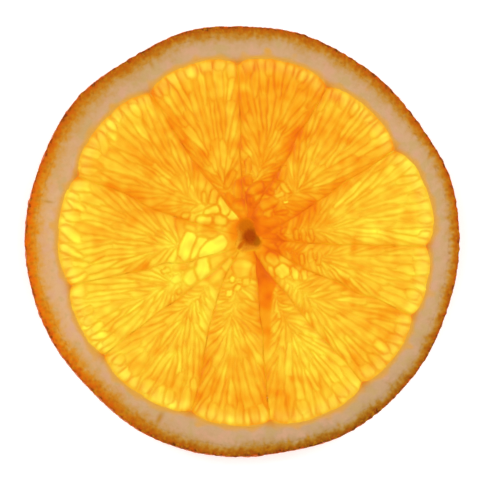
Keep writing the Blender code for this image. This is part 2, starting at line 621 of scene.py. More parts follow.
BIG_SACS = (  # bearing, radius, heading, length, width and glow
    (187.3, 10.9, 68, 4.8, 2.5, 243), (188.6, 8.9, 52, 3.9, 1.4, 238), (194.3, 6.3, 29, 5, 2.6, 244),
    (173.5, 7.1, 170, 2.8, 1, 205), (169, 10.4, 165, 1.8, 0.9, 200), (160, 11.6, 160, 1.5, 1.4, 206),
    (157.4, 8.3, 175, 2.7, 1.7, 226), (147.5, 5.7, 175, 2.3, 1.5, 205), (148.6, 10.2, 30, 2.6, 1.3, 203),
    (142.6, 8.2, 18, 2.4, 1.1, 222), (126, 7.2, 110, 3.2, 1.4, 222), (129.3, 9.5, 80, 2.4, 1.5, 196),
    (137.3, 10.5, 90, 2.4, 1, 192), (214, 9.6, 75, 3.4, 2.3, 239), (216, 6.7, 30, 3.2, 1.6, 206),
    (214, 12.3, 50, 2.8, 2.2, 230), (209.7, 14.5, 40, 1.9, 1.7, 225), (201.3, 15.4, 20, 1.9, 1.2, 216),
    (202.8, 13.1, 10, 2.4, 1.2, 211), (204.8, 10.9, 20, 0.9, 0.7, 207), (217.5, 15.3, 220, 1.1, 0.9, 226),
    (230.6, 8.7, 35, 3.2, 2.5, 208), (259.5, 5.3, 0, 3.4, 3.3, 203), (248.6, 7.5, 70, 1.6, 1.2, 227),
    (258.2, 8.9, 60, 1.5, 1.3, 225), (250.9, 10.1, 80, 1.5, 1.4, 226), (267.5, 7.6, 270, 1.7, 1.5, 214),
    (320, 5.7, 320, 2.8, 1.9, 194), (316.5, 8.3, 310, 2.6, 2.5, 223), (323.3, 10.3, 280, 2.4, 1.4, 218),
    (327.4, 11.9, 280, 2.3, 1.1, 209), (304.5, 7.2, 280, 2.4, 1.2, 205), (344, 11.5, 90, 2.4, 0.9, 188),
    (338.8, 10.2, 95, 2.2, 0.9, 182), (344.7, 13, 80, 2.6, 1, 191), (38.5, 4.6, 355, 3.2, 1.8, 134),
    (60.5, 7, 22, 4.2, 1.9, 155), (37.5, 7.6, 10, 2.6, 0.8, 147), (43.5, 9.2, 12, 1.2, 0.85, 228),
    (54, 9.4, 30, 2.1, 1.2, 182), (53.5, 11, 308, 2.6, 1.1, 186), (63.9, 10.5, 60, 1.6, 1.3, 160),
    (13, 6.5, 60, 1.6, 0.8, 152), (4.7, 8.5, 95, 2.3, 1, 169), (4.8, 9.8, 95, 2.5, 0.9, 179),
    (3.5, 11.3, 100, 2.3, 0.9, 180), (90, 10.3, 95, 1.9, 1.7, 168), (101.3, 8.9, 88, 3.7, 1.6, 168),
    (106.5, 11, 62, 3.9, 1.5, 171), (104.5, 6, 90, 2, 2, 147), (113.7, 7.8, 120, 2.2, 1.2, 146),
    (90, 12.6, 90, 3.2, 1.3, 172), (80.9, 8.9, 29, 3.3, 1.9, 156), (87, 6.7, 90, 1.7, 1.6, 141),
    (88, 5.1, 90, 1.3, 1.1, 132), (70, 5.3, 60, 2, 1.4, 140), (65.2, 9.1, 340, 1.5, 1, 153),
    (62, 13, 78, 3, 1.6, 172),
)


RIM_SACS = (  # bearing, radius, lean from straight outwards, length, width and glow
    (1.5, 31, 0, 2.2, 1.3, 232), (6.5, 31.3, 0, 2.4, 2, 218), (13.7, 30.2, 0, 2.6, 1.6, 204),
    (20.3, 29.9, -4, 3.4, 1.2, 208), (28, 29.8, 14, 2.8, 1.5, 214), (40, 29.5, 4, 2.8, 1.8, 208),
    (44.5, 29.9, -8, 1.8, 1.2, 198), (50.6, 29.3, 8, 2.4, 1.4, 204), (71.5, 30.1, 0, 2.2, 1.7, 188),
    (83, 30.4, 6, 2.6, 1.5, 172), (95.6, 29.6, -6, 2.8, 1.8, 192), (99.2, 31, -20, 2.2, 2.2, 204),
    (109, 31, 0, 2.4, 2.3, 218), (119.3, 30.2, -10, 3, 1.6, 188), (121.8, 30.2, 14, 2.6, 1.4, 188),
    (131, 30, -6, 2.8, 1.8, 206), (140.6, 31.1, -8, 2.4, 1.6, 220), (142.6, 30, -10, 2.2, 1.2, 214),
    (146.6, 30.5, -38, 3.4, 1.5, 203), (156.8, 30.2, 16, 2.8, 1.6, 193), (162.6, 30.6, 12, 3.2, 2.2, 226),
    (166.2, 31.4, -10, 2, 1.3, 216), (169.2, 30.6, -24, 3.2, 1.3, 232), (172.6, 31.1, 10, 3, 2.1, 216),
    (178.8, 30.9, -32, 4.2, 1.9, 236), (184.6, 30.7, -34, 4.6, 1.4, 236), (188.4, 30.1, -10, 3, 1.2, 220),
    (190.8, 31, 4, 2.8, 1.7, 222), (193.2, 30.4, 10, 3, 1.3, 230), (197.4, 31, -4, 2.6, 1.9, 224),
    (204.2, 30.8, 0, 2.2, 1.4, 206), (207.4, 31.4, 0, 2.2, 1.8, 214), (210.6, 30.6, 10, 3, 1.5, 226),
    (213.2, 31.2, -20, 3.2, 1.5, 230), (216.2, 30.4, 6, 2.6, 1.3, 222), (223.4, 30.9, 6, 2.6, 1.8, 206),
    (235.6, 31, 0, 3, 1.9, 206), (243.6, 31, 14, 2.6, 1.9, 201), (258.3, 31, 0, 2.6, 1.9, 195),
    (272.2, 31, 6, 2.8, 1.9, 184), (288, 31.2, 4, 2.6, 2.1, 192), (301.2, 31.1, 8, 3.2, 2, 208),
    (312.2, 31.2, -4, 2.8, 2.4, 196), (321, 30.2, -4, 2.8, 1.7, 212), (332.8, 30.7, 16, 3, 1.8, 194),
    (341.2, 30.4, 8, 2.4, 1.8, 206), (350.2, 30.9, 0, 2.8, 2.8, 216), (356.2, 30.4, 10, 2.8, 1.9, 212),
)
LARGE_SACS = (*(BigSac(*row) for row in BIG_SACS),
              *(BigSac(row[0], row[1], row[0] + row[2], *row[3:]) for row in RIM_SACS))


@dataclass
class Sacs:
    """The juice sacs of one cut face of a segment: long cells that fan out from its axis."""

    NEAR = 0.2  # a large sac is in the segment if one of its points is this close

    plan: Plan
    index: int
    seed: int
    tries: int = 5000
    crowding: float = 0.83
    widths: Triple = (0.76, 0.027, 1.12)  # at the axis, more for each millimetre away, and most
    lengths: Triple = (2.2, 0.45, 7.0)
    inner_width: float = 1.7
    inner_length: float = 2.7
    coarse_zone: Range = (0.75, 1.25)  # shares of how far out the large inner sacs reach
    brim_width: float = 0.52  # added to the width along the pith
    brim_length: float = 4.4
    brim_zone: Range = (26.5, 30.0)
    brim_wander: float = 1.2
    spread: float = 1.4  # how long the stretch of axis is that the sacs fan out from
    lead: float = 0.3
    bend: float = 0.07
    turning: Range = (3.5, 26.0)  # degrees that headings vary by, outside and in the inner zone
    sizes: Range = (0.84, 1.2)
    shapes: Range = (0.85, 1.15)
    swing: float = 8.0  # how much the glow varies from sac to sac
    swing_tails: float = 5.0
    swing_limits: Range = (-2.5, 3.0)
    swing_shares: Range = (0.72, 1.6)
    sway: float = 0.04
    ruffle: float = 0.012
    taper: float = 0.9  # how much narrower the sacs are towards the axis
    taper_limits: Range = (0.45, 1.5)
    corners: Range = (0.30, 0.55)  # how rounded the pattern is where three sacs meet
    side_zone: Range = (0.3, 0.9)
    margin: float = 0.12  # that the large sacs' walls take up
    roundness: float = 0.4  # of the large sacs: 1 is an ellipse, 0 a rounded box
    firmness: float = 3.0  # how much more the large sacs keep their shape than the others
    rim: float = 20.0  # large sacs further out than this lie along the pith
    rim_inner: float = 0.2
    rim_firmness: float = 1.6
    no_taper: float = 1e3
    least_source: float = 3.0
    seam_strengths: Range = (0.3, 1.0)
    flattest: float = 0.05  # the least slope that is divided by

    def _form(self, spots: Array) -> tuple[Array, Array, Array, Array, Array]:
        """Find how a sac lies at each spot: it leans away from the segment's axis, and outwards.

        Args:
            spots: Places, in millimetres from the core, one a line.

        Returns:
            Heading, length, width, distance from where the sac points to, and how much the spot
            is in the coarse inner zone.
        """
        row = SEGMENTS[self.index]
        bearing = np.degrees(np.arctan2(spots[:, 1], spots[:, 0]))
        radius = np.hypot(spots[:, 0], spots[:, 1])
        outwards = np.clip((radius - self.plan.core_radius) / (row.notch - self.plan.core_radius), 0.0, 1.0)
        near, far = self.plan.membrane(self.index, outwards), self.plan.membrane(self.index + 1, outwards)
        axis = mix(near, far, row.focus_share)
        aside = np.radians(turned(bearing, axis)) * radius
        ahead = radius - row.focus
        run = (ahead + np.hypot(ahead, 2.0 * self.spread)) / 2.0 + self.lead
        heading = np.radians(axis) + np.arctan2(aside, run)
        heading = heading + self.bend * Ripple(5.0, Seed.HEADING + self.seed).at(*spots.T)
        reach = np.hypot(aside, run)
        inner = 1.0 - smoothstep(*(row.coarse * share for share in self.coarse_zone), radius)
        wander = self.brim_wander * Ripple(3.5, Seed.BRIM).at(*spots.T)
        brim = smoothstep(*self.brim_zone, radius + wander)
        least, growth, most = self.widths
        width = np.minimum(least + growth * reach, most) + self.brim_width * brim
        least, growth, most = self.lengths
        length = mix(np.minimum(least + growth * reach, most), self.brim_length, brim)
        length, width = mix(length, self.inner_length, inner), mix(width, self.inner_width, inner)
        return heading, length, width, reach, inner

    def _large(self, spots: Array, face: Face) -> list[BigSac]:
        """Return the large sacs that lie among the given spots; the underside has none of its own."""
        found = []
        for sac in LARGE_SACS if face is Face.TOP else ():
            angle = math.radians(sac.bearing)
            away = spots - sac.radius * np.array((math.cos(angle), math.sin(angle)))
            if np.hypot(away[:, 0], away[:, 1]).min() < self.NEAR:
                found.append(sac)
        return found

    def scatter(self, spots: Array, face: Face) -> None:
        """Place the sacs: the large ones first, then others wherever they do not crowd.

        Args:
            spots: The places to choose from, one a line.
            face: The cut face they are on.
        """
        rng = np.random.default_rng(self.seed)
        large = self._large(spots, face)
        tried = spots[rng.permutation(len(spots))[:self.tries]]
        if large:
            middles = polar(np.array([sac.bearing for sac in large]), np.array([sac.radius for sac in large]))
            tried = np.concatenate((middles, tried))
        heading, length, width, source, inner = self._form(tried)
        heading = heading + np.radians(rng.normal(0.0, mix(*self.turning, inner)))
        size = rng.uniform(*self.sizes, len(tried))
        length, width = length * size, width * size * rng.uniform(*self.shapes, len(tried))
        lift = self.swing * np.clip(rng.standard_t(self.swing_tails, len(tried)), *self.swing_limits)
        lift = lift * mix(*self.swing_shares, inner)
        round_share, firm = inner.copy(), np.ones_like(inner)
        for number, sac in enumerate(large):
            heading[number] = math.radians(sac.heading)
            length[number], width[number] = sac.length + self.margin, sac.width + self.margin
            source[number], lift[number] = self.no_taper, sac.glow
            central = sac.radius < self.rim
            inner[number] = 1.0 if central else self.rim_inner
            firm[number] = self.firmness if central else self.rim_firmness
            round_share[number] = self.roundness
        source = np.maximum(source, self.least_source)
        values = np.column_stack((tried, heading, length, width, source, inner, lift, round_share, firm))
        kept = list(range(len(large)))
        for number in range(len(large), len(tried)):
            if kept:
                self._keep(values[kept])
                if self._outside(tried[number][None]).min() < (self.crowding - 0.5) * width[number]:
                    continue
            kept.append(number)
        self._keep(values[kept])
        self.strength = rng.uniform(*self.seam_strengths, len(kept))
        self.shade = rng.normal(0.0, 1.0, len(kept))

    def _keep(self, values: Array) -> None:
        """Take rows of middle, heading, length, width, source, inner, lift, roundness and firmness."""
        self.middle = values[:, :2]
        self.heading, self.length, self.width, self.source = values[:, 2:6].T
        self.inner, self.lift, self.round, self.firm = values[:, 6:].T

    def _outside(self, spots: Array) -> Array:
        """Return about how far outside each sac each spot is, less than 0 where it is inside."""
        along, across = self._offsets(spots[:, None], self.middle[None], self.heading[None])
        narrow = self._narrowing(along, self.source[None])
        u, v = np.abs(along / self.length[None]), np.abs(across / (self.width[None] * narrow))
        blunt = np.sqrt(np.hypot(u * u, v * v))
        return (mix(blunt, np.hypot(u, v), self.round[None]) - 0.5) * self.width[None]

    @staticmethod
    def _offsets(spots: Array, middle: Array, heading: Array) -> tuple[Array, Array]:
        """Return how far spots lie along and across sacs, in millimetres."""
        away = spots - middle
        cosine, sine = np.cos(heading), np.sin(heading)
        return away[..., 0] * cosine + away[..., 1] * sine, away[..., 1] * cosine - away[..., 0] * sine

    def _narrowing(self, along: Array, source: Array) -> Array:
        """Return how much narrower sacs are towards the axis, and wider away from it."""
        return np.clip(1.0 + self.taper * along / source, *self.taper_limits)

    def read(self, spots: Array) -> dict[str, Array]:
        """Find which sac each spot is in, and how far it is from the sac's wall.

        Args:
            spots: Places, in millimetres from the core, one a line.

        Returns:
            Arrays by name: own and other, the numbers of the sac and of its nearest neighbour;
            wall, the distance to the wall between them; depth, the same but rounded off in the
            sac's corners; step, the way to that wall; side, 1 where the wall runs along the sac
            and 0 across its end; and along and across, the place within the sac.
        """
        for size, length, seed in ((self.sway, 3.6, Seed.SAC_SWAY), (self.ruffle, 1.3, Seed.SAC_RUFFLE)):
            spots = spots + size * np.stack([Ripple(length, seed + way).at(*spots.T) for way in (0, 1)], 1)
        outside = self._outside(spots) * self.firm
        rows = np.arange(len(spots))
        own = outside.argmin(1)
        nearest = outside[rows, own]
        outside[rows, own] = np.inf
        other = outside.argmin(1)
        gap = outside[rows, other] - nearest
        outside[rows, other] = np.inf
        third = outside.argmin(1)
        slope = self._slope(spots, other) - self._slope(spots, own)
        steep = np.maximum(np.hypot(slope[:, 0], slope[:, 1]), self.flattest)
        next_slope = self._slope(spots, third) - self._slope(spots, own)
        next_steep = np.maximum(np.hypot(next_slope[:, 0], next_slope[:, 1]), self.flattest)
        next_wall = (outside[rows, third] - nearest) / next_steep
        wall = gap / steep
        depth = eased_least(wall, next_wall, mix(*self.corners, self.inner[own]))
        along, across = self._offsets(spots, self.middle[own], self.heading[own])
        step = -slope * (gap / steep ** 2)[:, None]
        heading = self.heading[own]
        facing = np.abs(slope[:, 1] * np.cos(heading) - slope[:, 0] * np.sin(heading)) / steep
        side = np.maximum(smoothstep(*self.side_zone, facing), self.inner[own])
        return {"own": own, "other": other, "wall": wall, "depth": depth, "step": step, "side": side,
                "along": along, "across": across}

    def _slope(self, spots: Array, sac: Array) -> Array:
        """Return how the distance outside a sac grows, across the plane, at each spot."""
        middle, heading = self.middle[sac], self.heading[sac]
        along, across = self._offsets(spots, middle, heading)
        length, width = self.length[sac], self.width[sac] * self._narrowing(along, self.source[sac])
        u, v = along / length, across / width
        blunt = np.maximum(np.sqrt(np.hypot(u * u, v * v)), self.flattest)
        smooth = np.maximum(np.hypot(u, v), self.flattest)
        part_along = mix((u / blunt) ** 3, u / smooth, self.round[sac]) * self.width[sac] / length
        part_across = mix((v / blunt) ** 3, v / smooth, self.round[sac]) * self.width[sac] / width
        cosine, sine = np.cos(heading), np.sin(heading)
        slope_x = part_along * cosine - part_across * sine
        slope_y = part_along * sine + part_across * cosine
        return np.stack((slope_x, slope_y), 1) * self.firm[sac][:, None]


@dataclass
class Wedge:
    """One segment's pulp: a closed wedge with a pattern of juice sacs on both cut faces."""

    plan: Plan
    glow: Glow
    index: int
    top_grain: float = 0.14
    underside_grain: float = 0.22
    side_gap: float = 0.10
    widest_gap: float = 0.3  # as a share of the way across
    snapping: Triple = (1.2, 0.55, 0.45)  # how far in points move to walls and from where, in grains
    end_gaps: Range = (0.15, 0.05)
    corner: float = 0.7  # how rounded the sacs' ends are along the edges
    pillow: float = 0.20
    groove: float = 0.03
    groove_width: float = 0.4
    dome_span: Range = (0.45, 1.8)  # share of its width over which a sac rises, and most width
    end_dome: float = 0.4  # how domed a sac is at its ends, against its sides
    relief: Triple = (0.035, 0.035, 2.0)  # of a sac, more for each millimetre of width, and most width
    sac_steps: float = 0.02  # how much the sacs' heights differ
    waviness: float = 0.03
    underside_relief: float = 0.7
    underside_rise: float = 0.14
    bare_hub: Range = (2.6, 4.8)
    calm: float = 0.4  # how strong the pattern is in the deepest colours
    calm_zone: Range = (112.0, 175.0)
    fades: Triple = (0.18, 0.85, 0.28)  # widths of the edges of small, large outer and large inner sacs
    streaks: float = 4.0
    streak_shift: float = 7.0  # how different the streaks of neighbouring sacs are
    streak_stretch: float = 0.22
    # painted highlight on each sac's domed middle, painted shade towards its walls
    dome_highlight: float = 7.0
    dome_mean: float = 0.65
    inner_walls: Range = (10.0, 0.18)  # depth and half-width of the lines round the inner sacs
    brim_highlight: Triple = (16.0, 1.0, 0.9)  # strength, place and half-width, of the painted highlights on the domes along the pith
    clouds: Range = (6.0, 4.0)
    brim_line: Range = (7.0, 0.42)
    corner_line: Range = (18.0, 1.1)
    end_seam: float = 0.3  # how strong the seams are across the sacs' ends
    edge_seam: float = 0.4
    edge_zone: Range = (0.1, 0.8)
    inner_seam: float = 0.3
    inner_spread: float = 0.2
    # painted light from the pith: how far in from the brim it peaks and its half-width, then how it fades in
    # from the membranes
    pith_light: Range = (1.2, 1.0)
    pith_light_zone: Range = (0.2, 1.2)
    thread_shift: float = 5.0
    laid_open: int = 8  # the segment in which the cut laid a membrane open
    open_glow: Triple = (112.0, 4.4, 6.0)  # least, more for each millimetre outwards, and from where
    open_edge: Range = (0.5, 0.3)
    open_end: Range = (20.0, 24.0)

    OPENED = ((4.0, 2.7), (6.0, 3.2), (8.0, 3.9), (9.3, 3.6), (10.5, 2.6), (13.0, 2.2), (17.0, 1.5),
              (21.5, 1.0))  # radius, width

    def rows(self, grain: float) -> list[tuple[float, Array]]:
        """Lay out the points of a cut face.

        Args:
            grain: Distance between neighbouring points.

        Returns:
            For each row, from the core outwards, its share of the way out and its points' shares
            of the way across.
        """
        row = SEGMENTS[self.index]
        count = round((row.notch + row.bulge - self.plan.core_radius) / grain)
        made = []
        for outwards in np.linspace(0.0, 1.0, count):
            bearing, radius = self.plan.pulp_point(self.index, np.full(2, outwards), np.array((0.0, 1.0)))
            width = math.radians(bearing[1] - bearing[0]) * radius.mean()
            margin = min(self.side_gap / width, self.widest_gap)
            columns = max(3, round(width * (1.0 - 2.0 * margin) / grain) + 1)
            made.append((outwards, np.linspace(margin, 1.0 - margin, columns)))
        return made

    def face(self, face: Face) -> tuple[Array, dict[str, Array], list[Array]]:
        """Model one cut face.

        Args:
            face: Which one.

        Returns:
            Its points, what is painted on them, and the point numbers of each row.
        """
        grain = self.top_grain if face is Face.TOP else self.underside_grain
        rows = self.rows(grain)
        sizes = [len(shares) for _, shares in rows]
        starts = np.concatenate(((0,), np.cumsum(sizes)))
        numbers = [np.arange(starts[k], starts[k + 1]) for k in range(len(rows))]
        outwards = np.repeat([row[0] for row in rows], sizes)
        share = np.concatenate([shares for _, shares in rows])
        bearing, radius = self.plan.pulp_point(self.index, outwards, share)
        spots = polar(bearing, radius)
        near, far = self.plan.membrane(self.index, outwards), self.plan.membrane(self.index + 1, outwards)
        span = np.radians(far - near)
        to_near, to_far = share * span * radius, (1.0 - share) * span * radius
        to_side = np.minimum(to_near, to_far)
        to_brim = self.plan.pulp_edge(self.index, share) - radius
        to_edge = np.minimum(np.minimum(to_side, to_brim), radius - self.plan.core_edge(bearing))

        seed = Seed.SACS if face is Face.TOP else Seed.UNDERSIDE_SACS
        sacs = Sacs(self.plan, self.index, seed=self.index * 2 + seed)
        sacs.scatter(spots, face)
        cells = sacs.read(spots)
        clear, first, second = self.snapping
        inner_point = (to_edge > clear * grain) & (outwards > 0.0) & (outwards < 1.0)
        near_wall = cells["wall"] < grain * np.where(cells["own"] < cells["other"], first, second)
        moved = inner_point & near_wall
        spots = np.where(moved[:, None], spots + cells["step"], spots)
        cells = sacs.read(spots)
        own, other = cells["own"], cells["other"]
        wall = np.where(moved, 0.0, cells["depth"])
        to_end = np.maximum(np.minimum(to_brim, to_side + self.end_gaps[0]) - self.end_gaps[1], 0.0)
        wall = eased_least(wall, to_end, self.corner)

        part, widest = self.dome_span
        swell = np.clip(wall / (part * np.minimum(sacs.width[own], widest)), 0.0, 1.0)
        dome = mix(1.0, swell * (2.0 - swell), mix(self.end_dome, 1.0, cells["side"]))
        opened = self.opened(radius, to_near)
        smooth = np.maximum(1.0 - smoothstep(*self.bare_hub, radius), opened)
        least, growth, widest = self.relief
        relief = least + growth * np.minimum(sacs.width[own], widest)
        height = relief * (dome - 0.5) + self.sac_steps * sacs.shade[own] * np.minimum(dome * 2.0, 1.0)
        height = height * (1.0 - smooth)
        pillow = self.pillow * 4.0 * share * (1.0 - share) * np.sin(math.pi * np.clip(outwards, 0.02, 0.98))
        x, y = spots[:, 0], spots[:, 1]
        height = height + pillow - self.groove * hump(to_edge, self.groove_width)
        height = height + self.waviness * Ripple(4.0, Seed.FACE).at(x, y)
        if face is Face.TOP:
            z = TOP_HEIGHT + height
        else:
            z = np.maximum(self.underside_rise - (height - pillow) * self.underside_relief, 0.0)

        radius = np.hypot(x, y)
        tone = self.glow.at(self.plan, self.index, bearing, radius)
        across = cells["across"] + sacs.shade[own] * self.streak_shift
        streak = Ripple(1.1, Seed.STREAK + self.index).at(across, cells["along"] * self.streak_stretch)
        least, growth, start = self.open_glow
        tone = mix(tone, least + growth * np.maximum(radius - start, 0.0), opened)
        inner, is_large = sacs.inner[own], sacs.firm[own] > 1.0
        calm = mix(self.calm, 1.0, smoothstep(*self.calm_zone, tone))
        lift = np.where(is_large, sacs.lift[own] - tone, sacs.lift[own] * calm)
        small, outer, central = self.fades
        fade = np.where(is_large, mix(outer, central, np.maximum(2.0 * inner - 1.0, 0.0)), small)
        pattern = lift * smoothstep(0.0, 1.0, wall / fade) + self.streaks * streak
        # painted highlight on each sac's domed middle and painted shade towards its walls
        pattern = pattern + self.dome_highlight * (dome - self.dome_mean) * calm
        depth, width = self.inner_walls
        pattern = pattern - depth * inner * hump(wall, width) * calm
        # painted highlights on the sacs' domes along the pith, painted shade at their walls
        strength, place, width = self.brim_highlight
        pattern = pattern + strength * hump(to_brim - place, width) * (dome - 0.5)
        tone = tone + pattern * (1.0 - smooth)
        tone = tone + self.clouds[0] * Ripple(5.0, Seed.CLOUD).at(x, y)
        tone = tone + self.clouds[1] * Ripple(2.2, Seed.FINE_CLOUD).at(x, y)
        tone = self.glow.beside(tone, np.maximum(self.glow.band(self.index, radius, to_near) * (1.0 - opened),
                                                 self.glow.band(self.index + 1, radius, to_far)))
        edge = self.brim_line[0] * hump(to_brim, self.brim_line[1])
        edge = edge + self.corner_line[0] * hump(np.hypot(to_brim, to_side), self.corner_line[1])
        tone = np.maximum(tone - edge, self.glow.deepest)
        seam = (sacs.strength[own] + sacs.strength[other]) / 2.0
        seam = seam * mix(self.end_seam, 1.0, cells["side"]) * (1.0 - smooth)
        seam = seam * mix(self.edge_seam, 1.0, smoothstep(*self.edge_zone, to_edge))
        seam = seam * (1.0 + self.inner_seam * inner) * calm
        paint = {
            "glow": tone / FULL_GLOW,
            "wall": wall / (1.0 + self.inner_spread * inner),
            "seam": seam,
            # painted light from the pith at the pulp's brim
            "pith_light": hump(to_brim - self.pith_light[0], self.pith_light[1]) * smoothstep(*self.pith_light_zone, to_side),
            "thread": np.stack((cells["across"], cells["along"], sacs.shade[own] * self.thread_shift), 1),
        }
        points = np.stack((x + self.plan.core_x, y + self.plan.core_y, z), 1)
        return points, paint, numbers

    def opened(self, radius: Array, to_near: Array) -> Array:
        """Find where the cut laid a membrane open, so that its bare skin shows in place of sacs.

        Args:
            radius: Distances from the core.
            to_near: Distances from the membrane on the clockwise side.

        Returns:
            1 on the bare skin, 0 off it.
        """
        if self.index != self.laid_open:
            return np.zeros_like(radius)
        width = np.interp(radius, *zip(*self.OPENED))
        skin = 1.0 - smoothstep(width - self.open_edge[0], width + self.open_edge[1], to_near)
        return skin * (1.0 - smoothstep(*self.open_end, radius))

    def build(self, material: bpy.types.Material) -> bpy.types.Object:
        """Make the wedge.

        Args:
            material: The pulp's material.

        Returns:
            The piece.
        """
        top, top_paint, top_rows = self.face(Face.TOP)
        low, low_paint, low_rows = self.face(Face.UNDERSIDE)
        low_rows = [row + len(top) for row in low_rows]
        faces = []
        for rows in (top_rows, low_rows):
            faces += [zip_rows(lower, upper) for lower, upper in zip(rows, rows[1:])]
        faces.append(zip_rows(top_rows[0], low_rows[0]))
        faces.append(zip_rows(top_rows[-1], low_rows[-1]))
        for end in (0, -1):
            top_side = np.array([row[end] for row in top_rows])
            low_side = np.array([row[end] for row in low_rows])
            faces.append(zip_rows(top_side, low_side))
        paint = {label: np.concatenate((top_paint[label], low_paint[label])) for label in top_paint}
        skin = Skin(np.concatenate((top, low)), faces, paint)
        return skin.piece(f"segment_{self.index + 1:02d}", Slot.PULP, material, crease=62.0)


# ---------------- membranes

@dataclass
class Membranes:
    """The skins between the segments, round the pulp and round the core, as thin upright ribbons."""

    plan: Plan
    glow: Glow
    half_width: float = 0.15
    inner_half_width: float = 0.20
    inner_zone: Range = (2.0, 16.0)
    half_width_round_pulp: float = 0.20
    half_width_round_core: float = 0.17
    unevenness: Triple = (0.15, 0.1, 0.2)  # between segments, round the pulp, round the core
    top_waves: Triple = (0.015, 0.01, 0.015)
    sunk: float = 0.06
    rings_sunk: float = 0.05
    foot: float = 0.06
    grain: float = 0.2
    pulp_sections: int = 1100
    core_sections: int = 140
    pulp_gap: float = 0.08
    deeper: float = 5.0
    pale_end: Range = (0.9, 0.5)  # how long the pale outer end of a membrane is, and how pale
    ring_glow: float = 168.0
    ring_swing: float = 14.0
    notch_width: float = 1.1
    notch_depth: float = 46.0
    notch_pale: float = 0.75
    core_swing: float = 6.0

    PROFILE = ((-1.0, 0.0, 0.0), (-1.0, 0.5, 0.0), (-1.0, 1.0, -0.05), (-0.7, 1.0, -0.015), (-0.3, 1.0, 0.0),
               (0.3, 1.0, 0.0), (0.7, 1.0, -0.015), (1.0, 1.0, -0.05), (1.0, 0.5, 0.0), (1.0, 0.0, 0.0),
               (0.5, 0.0, -0.02), (-0.5, 0.0, -0.02))  # across, share of the height, and lift

    def __post_init__(self) -> None:
        """Start with no ribbon made."""
        self.points: list[Array] = []
        self.faces: list[Array] = []
        self.tones: list[Array] = []
        self.pales: list[Array] = []
        self.count = 0

    def ribbon(self, path: Array, half_width: Array, top: Array, tone: Array, pale: Array,
               closed: bool) -> None:
        """Add one ribbon.

        Args:
            path: Its middle line, x and y from the core.
            half_width: Half its thickness along the line.
            top: How high its top edge stands.
            tone: Its glow along the line.
            pale: How much of the pith shows in it.
            closed: Whether the line closes on itself.
        """
        if closed:
            ahead = np.roll(path, -1, axis=0) - np.roll(path, 1, axis=0)
        else:
            ahead = np.gradient(path, axis=0)
        ahead = ahead / np.linalg.norm(ahead, axis=1)[:, None]
        side = np.stack((-ahead[:, 1], ahead[:, 0]), 1)
        rings = []
        for across, up, lift in self.PROFILE:
            spot = path + side * (half_width * across)[:, None]
            rings.append(np.column_stack((spot[:, 0] + self.plan.core_x, spot[:, 1] + self.plan.core_y,
                                          mix(self.foot, top, up) + lift)))
        sections = len(path)
        grid = grid_of(len(rings), sections)
        self.faces.append(grid_faces(grid, True, closed) + self.count)
        if not closed:
            self.faces.append(grid[:, :1].T + self.count)
            self.faces.append(grid[:, -1:].T + self.count)
        self.points.append(np.concatenate(rings))
        self.tones.append(np.tile(tone, len(rings)))
        self.pales.append(np.tile(pale, len(rings)))
        self.count += len(rings) * sections

    def between(self, index: int) -> None:
        """Add the membrane on a segment's clockwise side."""
        row = SEGMENTS[index]
        outwards = np.linspace(0.0, 1.0, round(row.notch / self.grain))
        bearing, radius = self.plan.pulp_point(index, outwards, np.zeros_like(outwards))
        path = polar(bearing, radius)
        uneven = Ripple(2.5, Seed.MEMBRANE_WIDTH + index).at(radius, 0.0)
        half = mix(self.inner_half_width, self.half_width, smoothstep(*self.inner_zone, radius))
        half = half * (1.0 + self.unevenness[0] * uneven)
        waves_up = Ripple(3.0, Seed.MEMBRANE_TOP + index).at(radius, 0.0)
        top = TOP_HEIGHT - self.sunk + self.top_waves[0] * waves_up
        before = self.glow.at(self.plan, index - 1, bearing, radius)
        after = self.glow.at(self.plan, index, bearing, radius)
        tone = self.glow.beside((before + after) / 2.0, self.glow.band(index, radius, 0.0)) - self.deeper
        tone = np.maximum(tone, self.glow.deepest)
        pale = smoothstep(row.notch - self.pale_end[0], row.notch, radius) * self.pale_end[1]
        self.ribbon(path, half, top, tone, pale, closed=False)

    def round_pulp(self) -> None:
        """Add the skin between the pulp and the pith."""
        bearing = np.linspace(0.0, 360.0, self.pulp_sections, endpoint=False)
        radius = self.plan.pulp_edge_at(bearing) + self.pulp_gap
        path = polar(bearing, radius)
        uneven = Ripple(2.5, Seed.PULP_SKIN).at(path[:, 0], path[:, 1])
        half = self.half_width_round_pulp * (1.0 + self.unevenness[1] * np.clip(uneven, -1.5, 1.5))
        top = TOP_HEIGHT - self.rings_sunk + self.top_waves[1] * uneven
        notch = notches(bearing, radius, self.notch_width)
        tone = self.ring_glow - self.notch_depth * notch + self.ring_swing * uneven
        self.ribbon(path, half, top, tone, 1.0 - self.notch_pale * notch, closed=True)

    def round_core(self) -> None:
        """Add the skin round the core."""
        bearing = np.linspace(0.0, 360.0, self.core_sections, endpoint=False)
        radius = self.plan.core_edge(bearing)
        path = polar(bearing, radius)
        uneven = Ripple(1.6, Seed.CORE_SKIN).at(path[:, 0], path[:, 1])
        half = self.half_width_round_core * (1.0 + self.unevenness[2] * uneven)
        top = TOP_HEIGHT - self.rings_sunk + self.top_waves[2] * uneven
        tone = self.glow.at(self.plan, 0, bearing, radius) + self.core_swing * uneven
        self.ribbon(path, half, top, tone, np.zeros_like(tone), closed=True)

    def build(self, material: bpy.types.Material) -> bpy.types.Object:
        """Make all the membranes, as one piece.

        Args:
            material: The membranes' material.

        Returns:
            The piece.
        """
        for index in range(len(SEGMENTS)):
            self.between(index)
        self.round_pulp()
        self.round_core()
        paint = {"glow": np.concatenate(self.tones) / FULL_GLOW, "pale": np.concatenate(self.pales)}
        skin = Skin(np.concatenate(self.points), self.faces, paint)
        return skin.piece("membranes", Slot.MEMBRANE, material, crease=60.0)


# ---------------- rind

@dataclass(frozen=True)
class Gland:
    """An oil gland or a stain that shows in the cut rind."""

    bearing: float
    depth: float
    length: float
    width: float
    strength: float = 1.0


